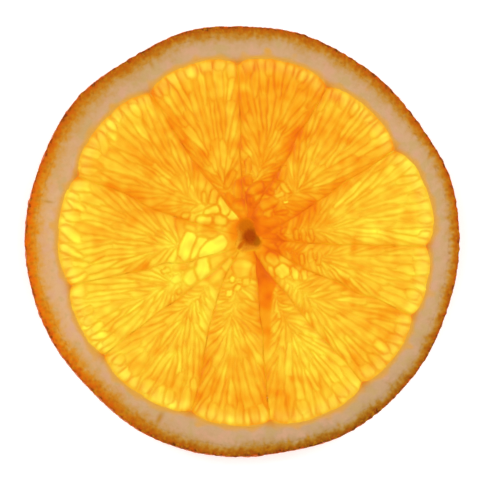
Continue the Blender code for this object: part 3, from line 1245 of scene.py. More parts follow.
@dataclass(frozen=True)
class Rind:
    """What the pith and the peel share: the level of their cut faces, the colour bands in them and the
    painted light and shade across them.
    """

    plan: Plan
    join: float = 1.9  # how deep the peel goes
    band: float = 1.9  # how deep the ochre goes, on average
    least_band: float = 0.7
    slowness: float = 0.55  # how much less the unevenness changes inwards than along the rim
    teeth_zone: Range = (0.3, 1.2)
    glands: tuple[Gland, ...] = (
        Gland(6, 1.8, 0.45, 0.3), Gland(30, 1.7, 0.35, 0.3, 0.6), Gland(84, 1.7, 0.4, 0.25, 0.6),
        Gland(119, 2.7, 0.8, 0.35, 0.8), Gland(143, 2.4, 0.5, 0.4, 0.5),
        Gland(169.5, 3.3, 0.9, 0.25, 0.7), Gland(196.5, 2.1, 0.6, 0.35, 0.6),
        Gland(235, 1.6, 0.5, 0.4, 0.9), Gland(243.8, 3.6, 1.2, 0.55, 0.9), Gland(281.5, 1.7, 0.45, 0.28),
        Gland(287, 1.7, 0.5, 0.3), Gland(296, 2, 0.5, 0.28, 0.7), Gland(331, 1.7, 0.45, 0.26, 0.8),
        Gland(356, 1.5, 0.4, 0.35, 0.6),
    )

    BAND_TILT = (0.40, 165.0)  # how much deeper the bands are on one side, and its bearing
    LIT_TILT = (0.36, 0.12)  # mean painted light, and how much lighter the painted light makes it towards +X
    LIT_CHANGES = ((190.0, 45.0, 0.85), (300.0, 40.0, -0.42), (247.0, 16.0, -0.10))  # bearing, width, change of the painted light
    BAND_CHANGES = ((55, 18, 0.35), (135, 18, 0.30), (170, 9, -0.35), (190, 14, -0.20),
                    (210, 9, -0.30), (236, 16, 0.35), (262, 7, -0.25), (271, 6, 0.20))

    def level(self, x: Array, y: Array) -> Array:
        """Return how far the cut face stands off its plane."""
        fine = 0.012 * Ripple(0.9, Seed.FINE_RIND_LEVEL).at(x, y)
        return 0.022 * Ripple(3.1, Seed.RIND_LEVEL).at(x, y) + fine

    def joint(self, bearing: Array) -> Array:
        """Return the depth at which the peel's piece meets the pith's."""
        return self.join + 0.12 * Ripple(9.0, Seed.JOINT).at(self.plan.radius * np.radians(bearing), 0.0)

    def bands(self, bearing: Array, depth: Array) -> Array:
        """Stretch the depth so that the colour bands come out uneven.

        Args:
            bearing: Bearing from the core.
            depth: Depth from the outline.

        Returns:
            The depth at which an even rind would have the same colour.
        """
        x, y = polar(bearing, self.plan.radius - self.slowness * depth).T
        tilt, towards = self.BAND_TILT
        band = self.band + tilt * np.cos(np.radians(bearing) - math.radians(towards))
        for towards, width, more in self.BAND_CHANGES:
            band = band + more * hump(turned(bearing, towards), width)
        band = band + 0.13 * Ripple(6.0, Seed.BAND).at(x, y)
        teeth = 0.10 * Ripple(1.7, Seed.TEETH).at(x, y) + 0.07 * Ripple(0.8, Seed.FINE_TEETH).at(x, y)
        reach = smoothstep(*self.teeth_zone, depth)
        return depth * self.band / np.maximum(band + teeth * reach, self.least_band)

    def tone(self, bearing: Array) -> Array:
        """Return how light the rind is painted, from 0 in painted shade to 1 in painted light."""
        mean, tilt = self.LIT_TILT
        tone = mean + tilt * np.cos(np.radians(bearing))
        for towards, width, more in self.LIT_CHANGES:
            tone = tone + more * hump(turned(bearing, towards), width)
        return tone

    def gland_mask(self, bearing: Array, depth: Array) -> Array:
        """Return 1 in the middle of a gland and 0 away from all of them."""
        mask = np.zeros(np.broadcast(bearing, depth).shape)
        for gland in self.glands:
            across = np.radians(turned(bearing, gland.bearing)) * self.plan.radius
            spot = hump(np.hypot(across / gland.width, (depth - gland.depth) / gland.length), 1.0)
            mask = np.maximum(mask, spot * gland.strength)
        return mask

    def ring(self, bearing: Array, rings: list[Array], insets: list[Array],
             paint: dict[str, list[Array]]) -> Skin:
        """Close a ring and paint the colour bands on it.

        Args:
            bearing: Bearings of its sections.
            rings: Its points, one array for each corner of the section.
            insets: How deep they lie, in the same order.
            paint: What else is painted on them, in the same order.

        Returns:
            The ring's skin.
        """
        painted = {label: np.concatenate(values) for label, values in paint.items()}
        painted["depth"] = np.concatenate([self.bands(bearing, inset) for inset in insets])
        # painted light and shade round the rim
        painted["tone"] = np.tile(self.tone(bearing), len(rings))
        painted["gland"] = self.gland_mask(bearing[None], np.array(insets)).ravel()
        faces = grid_faces(grid_of(len(rings), len(bearing)), True, True)
        return Skin(np.concatenate(rings), [faces], painted)


@dataclass
class Pith:
    """The white ring between the pulp and the peel."""

    plan: Plan
    rind: Rind
    columns: int = 1000
    top_rows: int = 26
    low_rows: int = 16
    inner_gap: float = 0.18
    tuck: float = 0.05
    furrow: float = 0.07
    furrow_width: float = 0.4
    joint_dip: float = 0.06
    underside_rise: float = 0.05
    notch_width: float = 0.8
    notch_reach: float = 0.9
    grain: float = 0.012
    edge_swing: float = 0.25

    def build(self, material: bpy.types.Material) -> bpy.types.Object:
        """Make the ring.

        Args:
            material: The pith's material.

        Returns:
            The piece.
        """
        bearing = np.linspace(0.0, 360.0, self.columns, endpoint=False)
        inner = self.plan.pulp_edge_at(bearing) + self.inner_gap
        outer = self.plan.outline(bearing) - self.rind.joint(bearing) + self.tuck
        notch = notches(bearing, inner, self.notch_width)
        rings, insets, edges, corners = [], [], [], []
        profile = [(share, Face.TOP) for share in np.linspace(0.0, 1.0, self.top_rows)]
        profile += [(share, Face.UNDERSIDE) for share in np.linspace(1.0, 0.0, self.low_rows)]
        for share, face in profile:
            radius = mix(inner, outer, share)
            insets.append(self.plan.outline(bearing) - radius)
            x, y = self.plan.rim(bearing, insets[-1], share * float(face is Face.UNDERSIDE))
            from_pulp = radius - inner
            dip = self.furrow * hump(from_pulp, self.furrow_width) + self.joint_dip * float(share == 1.0)
            if face is Face.TOP:
                grain = self.grain * Ripple(0.45, Seed.PITH_GRAIN).at(x, y)
                z = TOP_HEIGHT + self.rind.level(x, y) - dip + grain
            else:
                z = np.maximum(self.underside_rise + dip + self.rind.level(y, x), 0.0)
            rings.append(np.stack((x, y, z), 1))
            edges.append(from_pulp * (1.0 + self.edge_swing * Ripple(3.2, Seed.PITH_EDGE).at(x, y)))
            corners.append(notch * hump(from_pulp, self.notch_reach))
        skin = self.rind.ring(bearing, rings, insets, {"from_pulp": edges, "notch": corners})
        return skin.piece("pith", Slot.PITH, material, crease=60.0)


@dataclass
class Peel:
    """The coloured skin of the fruit, with its cut edges and its pored outside."""

    plan: Plan
    rind: Rind
    columns: int = 1400
    cut_rows: int = 12
    side_rows: int = 30
    rounding: float = 0.16
    pore_spacing: float = 1.05
    pore_radius: float = 0.34
    pore_depth: float = 0.09
    dot_spacing: float = 0.8
    dot_radius: float = 0.26  # of the hollows that oil glands leave in the cut faces
    dot_depth: float = 0.07
    dot_zone: Range = (0.25, 0.5)
    dot_share: float = 0.45  # of the dots, that are too small to show
    dot_paint: float = 0.30
    fade: float = 0.8  # how far in from the outside its shape still shows
    waviness: float = 0.02
    tuck: float = 0.05  # how far the lower cut face stays off the floor

    def profile(self) -> list[tuple[float, float, float]]:
        """Trace the ring's section, from its inner upper corner round to its inner lower one.

        Returns:
            For each point: its share of the way in to the pith, its height, and how much of it
            faces outwards, from 0 on a cut face to 1 on the outside.
        """
        edge = self.rounding
        made = [(share, TOP_HEIGHT, 0.0) for share in np.linspace(1.0, 0.10, self.cut_rows)]
        made += [(0.045, TOP_HEIGHT - 0.15 * edge, 0.15), (0.012, TOP_HEIGHT - 0.5 * edge, 0.5)]
        made += [(0.0, z, 1.0) for z in np.linspace(TOP_HEIGHT - 1.3 * edge, 1.3 * edge, self.side_rows)]
        made += [(0.012, 0.5 * edge, 0.5), (0.045, 0.15 * edge, 0.15)]
        made += [(share, 0.0, 0.0) for share in np.linspace(0.10, 1.0, self.cut_rows)]
        return made

    def build(self, material: bpy.types.Material) -> bpy.types.Object:
        """Make the ring.

        Args:
            material: The peel's material.

        Returns:
            The piece.
        """
        bearing = np.linspace(0.0, 360.0, self.columns, endpoint=False)
        arc = self.plan.radius * np.radians(bearing)
        pores = Speckle(self.plan.radius * math.tau, self.pore_spacing, Seed.PORES)
        dots = Speckle(self.plan.radius * math.tau, self.dot_spacing, Seed.DOTS)
        rings, insets, outsides, pits = [], [], [], []
        joint = self.rind.joint(bearing)
        for share, height, outside in self.profile():
            lean = 1.0 - height / TOP_HEIGHT
            swell = self.plan.rim_bulge * math.sin(math.pi * lean)
            inset = share * joint
            near, size = pores.nearest(arc, np.full_like(arc, height))
            pit = outside * hump(near, self.pore_radius * 0.8) * (0.4 + 0.6 * size)
            fade = math.exp(-inset.mean() / self.fade)
            push = self.nicks(bearing, height) * fade - self.pore_depth * pit
            push = push + self.waviness * outside * Ripple(2.0, Seed.RIM_WAVES).at(arc, height)
            x, y = self.plan.rim(bearing, inset - swell * fade - push, lean)
            z = np.full_like(x, height)
            if outside < 1.0:
                dot, big = dots.nearest(arc, inset)
                shown = big > self.dot_share
                sunk = self.dot_depth * hump(dot, self.dot_radius) * shown * smoothstep(*self.dot_zone, inset)
                level = (self.rind.level(x, y) - sunk) * (1.0 - outside)
                lifted = np.maximum(z + self.tuck * (1.0 - outside) - level, 0.0)
                z = z + level if height > TOP_HEIGHT / 2.0 else lifted
                pit = np.where(outside > 0.0, pit, hump(dot, self.dot_paint) * shown)
            rings.append(np.stack((x, y, z), 1))
            insets.append(inset)
            outsides.append(np.full(self.columns, outside))
            pits.append(pit)
        skin = self.rind.ring(bearing, rings, insets, {"outside": outsides, "pit": pits})
        return skin.piece("peel", Slot.PEEL, material, crease=60.0)

    def nicks(self, bearing: Array, height: float) -> Array:
        """Return the small unevenness of the outside, which changes from the upper face down."""
        x, y = polar(bearing, self.plan.radius).T
        down = TOP_HEIGHT - height
        fine = 0.02 * Ripple(1.1, Seed.FINE_NICKS).at(x, y - down)
        return 0.045 * Ripple(2.6, Seed.NICKS).at(x + down, y) + fine


# ---------------- core

class Stain(Enum):
    """The coloured patches in the core: place from its middle, half its size each way, and turn."""

    FIBRE = (0.65, 0.15, 2.25, 2.1, 25.0)
    COLUMN = (-0.45, 2.6, 1.5, 2.0, 8.0)
    BUFF = (0.3, -1.9, 1.7, 0.75, 0.0)
    OLIVE = (1.7, -0.4, 1.0, 0.9, 0.0)
    TAIL = (-1.35, -1.3, 1.7, 0.38, 52.0)
    HEART = (0.4, 0.45, 1.3, 1.4, 0.0)


@dataclass
class Core:
    """The fibrous core, a closed plug sunk a little in both faces."""

    plan: Plan
    glow: Glow
    columns: int = 144
    rings: int = 26
    dimple: float = 0.5
    dimple_power: float = 1.3
    sunk: float = 0.06
    fibres: Range = (0.05, 0.03)
    fibre_taper: float = 0.6
    middle: float = 0.04  # share of the way out at which the rings begin
    rim_zone: Range = (0.75, 1.0)
    pale_reach: float = 2.0
    pale_turn: float = 3.9  # radians, towards the pale side

    def build(self, material: bpy.types.Material) -> bpy.types.Object:
        """Make the plug.

        Args:
            material: The core's material.

        Returns:
            The piece.
        """
        bearing = np.linspace(0.0, 360.0, self.columns, endpoint=False)
        edge = self.plan.core_edge(bearing)
        shares = np.linspace(self.middle, 1.0, self.rings)
        points, around, rims = [], [], []
        for face in (Face.TOP, Face.UNDERSIDE):
            for share in shares:
                radius = edge * share
                rims.append(smoothstep(*self.rim_zone, np.full_like(edge, share)))
                x, y = self.plan.place(bearing, radius)
                fibre = self.fibres[0] * Ripple(0.9, Seed.FIBRE).at(x, y)
                fibre = fibre + self.fibres[1] * Ripple(0.4, Seed.FINE_FIBRE).at(x, y)
                hollow = self.dimple * (1.0 - share ** 2) ** self.dimple_power
                hollow = hollow - fibre * (1.0 - self.fibre_taper * share) + self.sunk
                z = TOP_HEIGHT - hollow if face is Face.TOP else hollow
                points.append(np.stack((x, y, z), 1))
                around.append(np.stack((x - self.plan.core_x, y - self.plan.core_y), 1))
        order = list(range(self.rings)) + list(range(2 * self.rings - 1, self.rings - 1, -1))
        points = [points[k] for k in order]
        x, y = np.concatenate([around[k] for k in order]).T
        paleness = 0.5 * np.clip(np.hypot(x, y) / self.pale_reach, 0.0, 1.0)
        paint = {
            "pale": 0.5 + paleness * np.cos(np.arctan2(y, x) - self.pale_turn),
            "glow": np.tile(self.glow.at(self.plan, 0, bearing, edge), len(order)) / FULL_GLOW,
            "rim": np.concatenate([rims[k] for k in order]),
        }
        for stain in Stain:
            middle_x, middle_y, half_long, half_wide, turn = stain.value
            cosine, sine = math.cos(math.radians(turn)), math.sin(math.radians(turn))
            along = (x - middle_x) * cosine + (y - middle_y) * sine
            across = (y - middle_y) * cosine - (x - middle_x) * sine
            paint[stain.name.lower()] = hump(np.hypot(along / half_long, across / half_wide), 1.0)
        grid = grid_of(len(points), self.columns)
        faces = [grid_faces(grid, False, True), grid[:1], grid[-1:]]
        skin = Skin(np.concatenate(points), faces, paint)
        return skin.piece("core", Slot.CORE, material, crease=70.0)


# ---------------- finishes

def linear(level: float) -> float:
    """Return a display level, 0 to 255, as a linear value."""
    share = level / FULL_GLOW
    return share / 12.92 if share <= 0.04045 else ((share + 0.055) / 1.055) ** 2.4


def shade(red: float, green: float, blue: float) -> Colour:
    """Return the surface colour that shows as the given display colour in the studio's light."""
    levels = [max(linear(level) - GLOSS_LEVEL, 0.0) / LIGHT_LEVEL for level in (red, green, blue)]
    return levels[0], levels[1], levels[2], 1.0


Stops = tuple[tuple[float, Colour], ...]
Shades = tuple[tuple[float, tuple[int, int, int]], ...]  # levels, or depths, and display colours
Socket = bpy.types.NodeSocket


@dataclass
class Desk:
    """Adds nodes to a tree and links them."""

    tree: bpy.types.NodeTree

    def add(self, kind: str, settings: dict[str, object], inputs: dict[str | int, object]) -> bpy.types.Node:
        """Add a node.

        Args:
            kind: Its type.
            settings: Its properties.
            inputs: Its inputs, each a socket to link or a plain value.

        Returns:
            The node.
        """
        node = self.tree.nodes.new(kind)
        for name, value in settings.items():
            setattr(node, name, value)
        for name, value in inputs.items():
            if isinstance(value, bpy.types.NodeSocket):
                self.tree.links.new(value, node.inputs[name])
            else:
                node.inputs[name].default_value = value
        return node

    def math(self, operation: str, first: object, second: object = 0.0, third: object = 0.0) -> Socket:
        """Return the result of a Math node."""
        inputs = {0: first, 1: second, 2: third}
        return self.add("ShaderNodeMath", {"operation": operation}, inputs).outputs[0]

    def ramp(self, value: Socket, stops: Stops) -> Socket:
        """Return a colour read from stops, each a place from 0 to 1 and a colour."""
        node = self.add("ShaderNodeValToRGB", {}, {"Fac": value})
        elements = node.color_ramp.elements
        elements[0].position, elements[0].color = stops[0]
        elements[1].position, elements[1].color = stops[-1]
        for place, colour in stops[1:-1]:
            elements.new(place).color = colour
        return node.outputs["Color"]

    def glowing(self, glow: Socket, shades: Shades) -> Socket:
        """Return the colour that a glow, from 0 to 1, has in a table of levels and colours."""
        low, span = shades[0][0], shades[-1][0] - shades[0][0]
        share = self.math("MULTIPLY_ADD", glow, FULL_GLOW / span, -low / span)
        return self.ramp(share, tuple(((level - low) / span, shade(*colour)) for level, colour in shades))

    def blend(self, share: object, first: object, second: object, mode: str = "MIX") -> Socket:
        """Return a mix of two colours."""
        settings = {"data_type": "RGBA", "blend_type": mode}
        return self.add("ShaderNodeMix", settings, {0: share, 6: first, 7: second}).outputs[2]

    def remap(self, value: Socket, low: float, high: float, to_low: float, to_high: float) -> Socket:
        """Return a value carried smoothly from one range to another, and held at its ends."""
        inputs = {"Value": value, "From Min": low, "From Max": high, "To Min": to_low, "To Max": to_high}
        return self.add("ShaderNodeMapRange", {"interpolation_type": "SMOOTHSTEP"}, inputs).outputs["Result"]

    def scaled(self, vector: Socket, scale: Socket) -> Socket:
        """Return a vector or a colour times a number."""
        inputs = {0: vector, "Scale": scale}
        return self.add("ShaderNodeVectorMath", {"operation": "SCALE"}, inputs).outputs[0]

    def grains(self, entry: dict[str, Socket]) -> Socket:
        """Return a group's Place, counted in its Grain and in millionths."""
        return self.scaled(entry["Place"], self.math("DIVIDE", MM, entry["Grain"]))

    def noise(self, place: Socket, size: float, detail: float) -> Socket:
        """Return noise with grains of about the given size, in the place's own unit."""
        inputs = {"Vector": place, "Scale": 1.0 / size, "Detail": detail, "Roughness": 0.55}
        return self.add("ShaderNodeTexNoise", {}, inputs).outputs["Fac"]

    def attribute(self, name: str, output: str = "Fac") -> Socket:
        """Return what is painted on the mesh under a name."""
        return self.add("ShaderNodeAttribute", {"attribute_name": name}, {}).outputs[output]

    def place(self) -> Socket:
        """Return the place on the object, in metres."""
        return self.add("ShaderNodeTexCoord", {}, {}).outputs["Object"]


@dataclass
class Effect:
    """A shader node group that several materials use."""

    name: str
    inputs: dict[str, str]
    outputs: dict[str, str]

    def start(self) -> tuple[Desk, dict[str, Socket], bpy.types.Node]:
        """Make the group with its sockets.

        Returns:
            A desk for it, its inputs by name, and its output node.
        """
        self.group = bpy.data.node_groups.new(self.name, "ShaderNodeTree")
        for label, kind in self.inputs.items():
            self.group.interface.new_socket(name=label, in_out="INPUT", socket_type=kind)
        for label, kind in self.outputs.items():
            self.group.interface.new_socket(name=label, in_out="OUTPUT", socket_type=kind)
        desk = Desk(self.group)
        entry = desk.add("NodeGroupInput", {}, {})
        leave = desk.add("NodeGroupOutput", {}, {})
        return desk, {label: entry.outputs[label] for label in self.inputs}, leave

    def use(self, desk: Desk, inputs: dict[str, object]) -> dict[str, Socket]:
        """Place the group in a material.

        Args:
            desk: The material's desk.
            inputs: What goes into it.

        Returns:
            What comes out of it, by name.
        """
        node = desk.add("ShaderNodeGroup", {"node_tree": self.group}, inputs)
        return {label: node.outputs[label] for label in self.outputs}


FLOAT = "NodeSocketFloat"
COLOUR = "NodeSocketColor"
VECTOR = "NodeSocketVector"
GRAIN = MM * MM  # one grain, as Desk.grains counts it


class Mottle(Effect):
    """Fine uneven colour, in grains of two sizes."""

    def __init__(self) -> None:
        """Build the group."""
        inputs = {"Colour": COLOUR, "Place": VECTOR, "Grain": FLOAT, "Strength": FLOAT}
        super().__init__("mottle", inputs, {"Colour": COLOUR})
        desk, entry, leave = self.start()
        spot = desk.grains(entry)
        fine = desk.noise(spot, GRAIN, 2.0)
        coarse = desk.noise(spot, GRAIN * 3.7, 1.0)
        both = desk.math("ADD", desk.math("MULTIPLY", fine, 0.6), desk.math("MULTIPLY", coarse, 0.4))
        swing = desk.math("MULTIPLY_ADD", desk.math("SUBTRACT", both, 0.5), entry["Strength"], 1.0)
        desk.tree.links.new(desk.scaled(entry["Colour"], swing), leave.inputs["Colour"])


class WetSkin(Effect):
    """The fine relief and uneven gloss of a moist cut face."""

    def __init__(self) -> None:
        """Build the group."""
        inputs = {"Place": VECTOR, "Grain": FLOAT, "Dry": FLOAT, "Wet": FLOAT}
        super().__init__("wet_skin", inputs, {"Height": FLOAT, "Roughness": FLOAT})
        desk, entry, leave = self.start()
        spot = desk.grains(entry)
        fine = desk.noise(spot, GRAIN, 3.0)
        pool = desk.noise(spot, GRAIN * 9.0, 1.0)
        desk.tree.links.new(fine, leave.inputs["Height"])
        share = desk.remap(pool, 0.35, 0.65, 0.0, 1.0)
        span = desk.math("SUBTRACT", entry["Dry"], entry["Wet"])
        desk.tree.links.new(desk.math("MULTIPLY_ADD", share, span, entry["Wet"]), leave.inputs["Roughness"])


class RindSection(Effect):
    """The colour bands of a cut rind, from the outline inwards, with its glands, in a lit copy and a shaded
    copy that its Tone mixes as painted light and shade.
    """

    REACH = 4.4  # the depth at the ramps' ends
    FLECK = 0.9  # sizes of the grains that unsettle the bands
    CLOUD = 2.4
    SPOT = 0.62
    JITTER = 1.9  # how far the flecks shift the bands

    # painted light and shade: the colour bands as they show on the rind's lit side, and below as they show on
    # its shaded side
    LIT_BANDS = ((0.0, (150, 64, 6)), (0.16, (204, 90, 5)), (0.4, (230, 108, 7)), (0.8, (231, 118, 5)),
             (1.2, (225, 132, 14)), (1.7, (223, 148, 42)), (2.2, (221, 160, 80)), (3.0, (223, 170, 112)),
             (4.2, (224, 176, 128)))
    SHADED_BANDS = ((0.0, (84, 42, 10)), (0.16, (126, 64, 8)), (0.4, (145, 80, 10)), (0.8, (158, 93, 10)),
            (1.2, (174, 116, 30)), (1.7, (183, 138, 64)), (2.2, (190, 150, 98)), (3.0, (197, 159, 118)),
            (4.2, (204, 164, 122)))
    ORANGE, OCHRE = shade(218, 86, 0), shade(200, 134, 18)
    WARM, GREEN, GLAND = shade(222, 166, 134), shade(198, 166, 100), shade(192, 132, 22)

    def __init__(self) -> None:
        """Build the group."""
        inputs = {"Depth": FLOAT, "Tone": FLOAT, "Gland": FLOAT, "Place": VECTOR}
        super().__init__("rind_section", inputs, {"Colour": COLOUR})
        desk, entry, leave = self.start()
        fleck = desk.noise(entry["Place"], self.FLECK * MM, 2.0)
        jitter = desk.math("MULTIPLY_ADD", desk.math("SUBTRACT", fleck, 0.5), self.JITTER, entry["Depth"])
        scaled = desk.math("DIVIDE", jitter, self.REACH)
        light = desk.ramp(scaled, self._stops(self.LIT_BANDS))
        dark = desk.ramp(scaled, self._stops(self.SHADED_BANDS))
        # painted light and shade: Tone mixes the shaded bands into the lit ones
        body = desk.blend(entry["Tone"], dark, light)
        cloud = desk.noise(entry["Place"], self.CLOUD * MM, 2.0)
        spots = desk.noise(entry["Place"], self.SPOT * MM, 1.0)
        outer = desk.remap(entry["Depth"], 0.15, 1.1, 0.6, 0.0)
        middle = desk.remap(entry["Depth"], 0.5, 1.6, 0.5, 0.0)
        deep = desk.remap(entry["Depth"], 1.8, 3.2, 0.0, 0.5)
        layers = ((spots, 0.54, 0.66, outer, self.ORANGE), (spots, 0.46, 0.34, middle, self.OCHRE),
                  (cloud, 0.52, 0.66, deep, self.WARM), (cloud, 0.48, 0.34, deep, self.GREEN))
        for field_there, start, full, share, colour in layers:
            mask = desk.math("MULTIPLY", desk.remap(field_there, start, full, 0.0, 1.0), share)
            body = desk.blend(mask, body, colour)
        body = desk.blend(entry["Gland"], body, self.GLAND)
        desk.tree.links.new(body, leave.inputs["Colour"])

    def _stops(self, table: Shades) -> Stops:
        """Return the stops of a ramp over the rind's depth."""
        return tuple((depth / self.REACH, shade(*colour)) for depth, colour in table)


@dataclass(frozen=True)
class Effects:
    """The shared node groups."""

    mottle: Mottle
    wet_skin: WetSkin
    rind_section: RindSection


@dataclass(frozen=True)
class Finish:
    """What every finish has: a name, its gloss and the size of its fine grain."""

    name: str
    wet: float
    dry: float
    specular: float
    grain: float
    mottle: float
    bump: float

    def paint(self, desk: Desk, effects: Effects) -> Socket:
        """Return the base colour; each finish has its own."""
        raise NotImplementedError

    def material(self, effects: Effects) -> bpy.types.Material:
        """Build the material.

        Args:
            effects: The shared node groups.

        Returns:
            A material whose Principled BSDF is fed by this finish's colour, relief and gloss.
        """
        made = bpy.data.materials.new(self.name)
        made.use_nodes = True
        desk = Desk(made.node_tree)
        shader = made.node_tree.nodes["Principled BSDF"]
        colour = self.paint(desk, effects)
        grain = self.grain * MM
        spot = desk.place()
        inputs = {"Colour": colour, "Place": spot, "Grain": grain, "Strength": self.mottle}
        mottled = effects.mottle.use(desk, inputs)
        skin = effects.wet_skin.use(desk, {"Place": spot, "Grain": grain, "Dry": self.dry, "Wet": self.wet})
        inputs = {"Strength": 1.0, "Distance": self.bump * MM, "Height": skin["Height"]}
        bump = desk.add("ShaderNodeBump", {}, inputs)
        links = made.node_tree.links
        links.new(mottled["Colour"], shader.inputs["Base Color"])
        links.new(skin["Roughness"], shader.inputs["Roughness"])
        links.new(bump.outputs["Normal"], shader.inputs["Normal"])
        shader.inputs["Specular IOR Level"].default_value = self.specular
        return made


@dataclass(frozen=True)
class PulpFinish(Finish):
    """Juicy pulp: lighter inside each sac, deeper along the sacs' walls."""

    seam_width: float = 0.44
    seam_depth: float = 0.04
    thread_depth: float = 0.055
    pith_light: float = 0.014  # painted light: blue that the light from the pith adds at the pulp's brim

    SEAM = (0.93, 0.84, 0.42, 1.0)  # what is left of the colour in a sac's wall
    SHADES = ((60, (168, 60, 2)), (90, (202, 88, 4)), (105, (231, 104, 5)), (120, (244, 119, 9)),
              (135, (247, 134, 15)), (150, (248, 150, 20)), (165, (250, 165, 28)), (180, (251, 180, 38)),
              (195, (252, 195, 46)), (210, (253, 210, 54)), (225, (254, 225, 62)), (240, (255, 240, 68)),
              (255, (253, 255, 72)))

    def paint(self, desk: Desk, effects: Effects) -> Socket:
        """Return the pulp's colour, read from what is painted on it."""
        glow = desk.attribute("glow")
        line = desk.remap(desk.attribute("wall"), 0.0, self.seam_width, 1.0, 0.0)
        seam = desk.math("MULTIPLY", line, desk.attribute("seam"))
        thread = desk.add("ShaderNodeVectorMath", {"operation": "MULTIPLY"},
                          {0: desk.attribute("thread", "Vector"), 1: (4.2, 0.42, 1.0)}).outputs[0]
        streak = desk.math("SUBTRACT", desk.noise(thread, 1.0, 2.0), 0.5)
        level = desk.math("MULTIPLY_ADD", streak, self.thread_depth, glow)
        level = desk.math("MULTIPLY_ADD", seam, -self.seam_depth, level)
        colour = desk.glowing(level, self.SHADES)
        # painted light from the pith at the pulp's brim
        colour = desk.blend(desk.attribute("pith_light"), colour, (0.0, 0.0, self.pith_light, 1.0), "ADD")
        return desk.blend(seam, colour, self.SEAM, "MULTIPLY")


@dataclass(frozen=True)
class MembraneFinish(Finish):
    """Thin moist skin, a slightly browner orange than the pulp."""

    SHADES = ((80, (200, 78, 4)), (100, (228, 98, 5)), (120, (238, 118, 8)), (140, (241, 139, 12)),
              (160, (242, 160, 18)), (180, (243, 180, 28)), (200, (244, 198, 40)), (230, (248, 222, 56)))

    def paint(self, desk: Desk, effects: Effects) -> Socket:
        """Return the membrane's colour, read from its glow."""
        skin = desk.glowing(desk.attribute("glow"), self.SHADES)
        return desk.blend(desk.attribute("pale"), skin, shade(228, 166, 62))


@dataclass(frozen=True)
class RindFinish(Finish):
    """What the finishes of the pith and the peel share."""

    @staticmethod
    def section(desk: Desk, effects: Effects) -> Socket:
        """Return the cut rind's colour, read from what is painted on it."""
        inputs = {label.capitalize(): desk.attribute(label) for label in ("depth", "tone", "gland")}
        return effects.rind_section.use(desk, {**inputs, "Place": desk.place()})["Colour"]


@dataclass(frozen=True)
class PithFinish(RindFinish):
    """Spongy white pith, yellowed by the light from the pulp along its inner edge."""

    edge_width: float = 1.05

    def paint(self, desk: Desk, effects: Effects) -> Socket:
        """Return the pith's colour."""
        body = self.section(desk, effects)
        edge = desk.remap(desk.attribute("from_pulp"), 0.0, self.edge_width, 0.9, 0.0)
        body = desk.blend(edge, body, shade(227, 163, 62))
        return desk.blend(desk.math("MULTIPLY", desk.attribute("notch"), 0.85), body, shade(218, 138, 36))


@dataclass(frozen=True)
class PeelFinish(RindFinish):
    """Peel: colour bands on the cut faces, bright waxy orange with darker pores outside."""

    def paint(self, desk: Desk, effects: Effects) -> Socket:
        """Return the peel's colour."""
        pit = desk.attribute("pit")
        section = self.section(desk, effects)
        section = desk.blend(desk.math("MULTIPLY", pit, 0.35), section, shade(150, 84, 10))
        skin = desk.blend(desk.math("MULTIPLY", pit, 0.5), shade(226, 108, 10), shade(196, 84, 6))
        return desk.blend(desk.attribute("outside"), section, skin)


@dataclass(frozen=True)
class CoreFinish(Finish):
    """Tan fibre, stained in patches and lit up at its rim by the pulp round it."""

    COLOURS = ((Stain.FIBRE, (204, 104, 13)), (Stain.COLUMN, (212, 111, 16)), (Stain.BUFF, (230, 139, 30)),
               (Stain.OLIVE, (184, 102, 10)), (Stain.TAIL, (212, 106, 6)), (Stain.HEART, (177, 72, 0)))

    def paint(self, desk: Desk, effects: Effects) -> Socket:
        """Return the core's colour: its rim, then one stain over another."""
        drift = desk.math("MULTIPLY_ADD", desk.noise(desk.place(), 0.7 * MM, 2.0), 0.4, -0.2)
        colour = desk.blend(desk.attribute("pale"), shade(230, 112, 10), shade(250, 176, 44))
        for stain, colour_there in self.COLOURS:
            mask = desk.math("MULTIPLY_ADD", drift, 0.8, desk.attribute(stain.name.lower()))
            colour = desk.blend(desk.remap(mask, 0.15, 0.75, 0.0, 0.95), colour, shade(*colour_there))
        beside = desk.glowing(desk.attribute("glow"), PulpFinish.SHADES)
        return desk.blend(desk.math("MULTIPLY", desk.attribute("rim"), 0.85), colour, beside)


# ---------------- studio

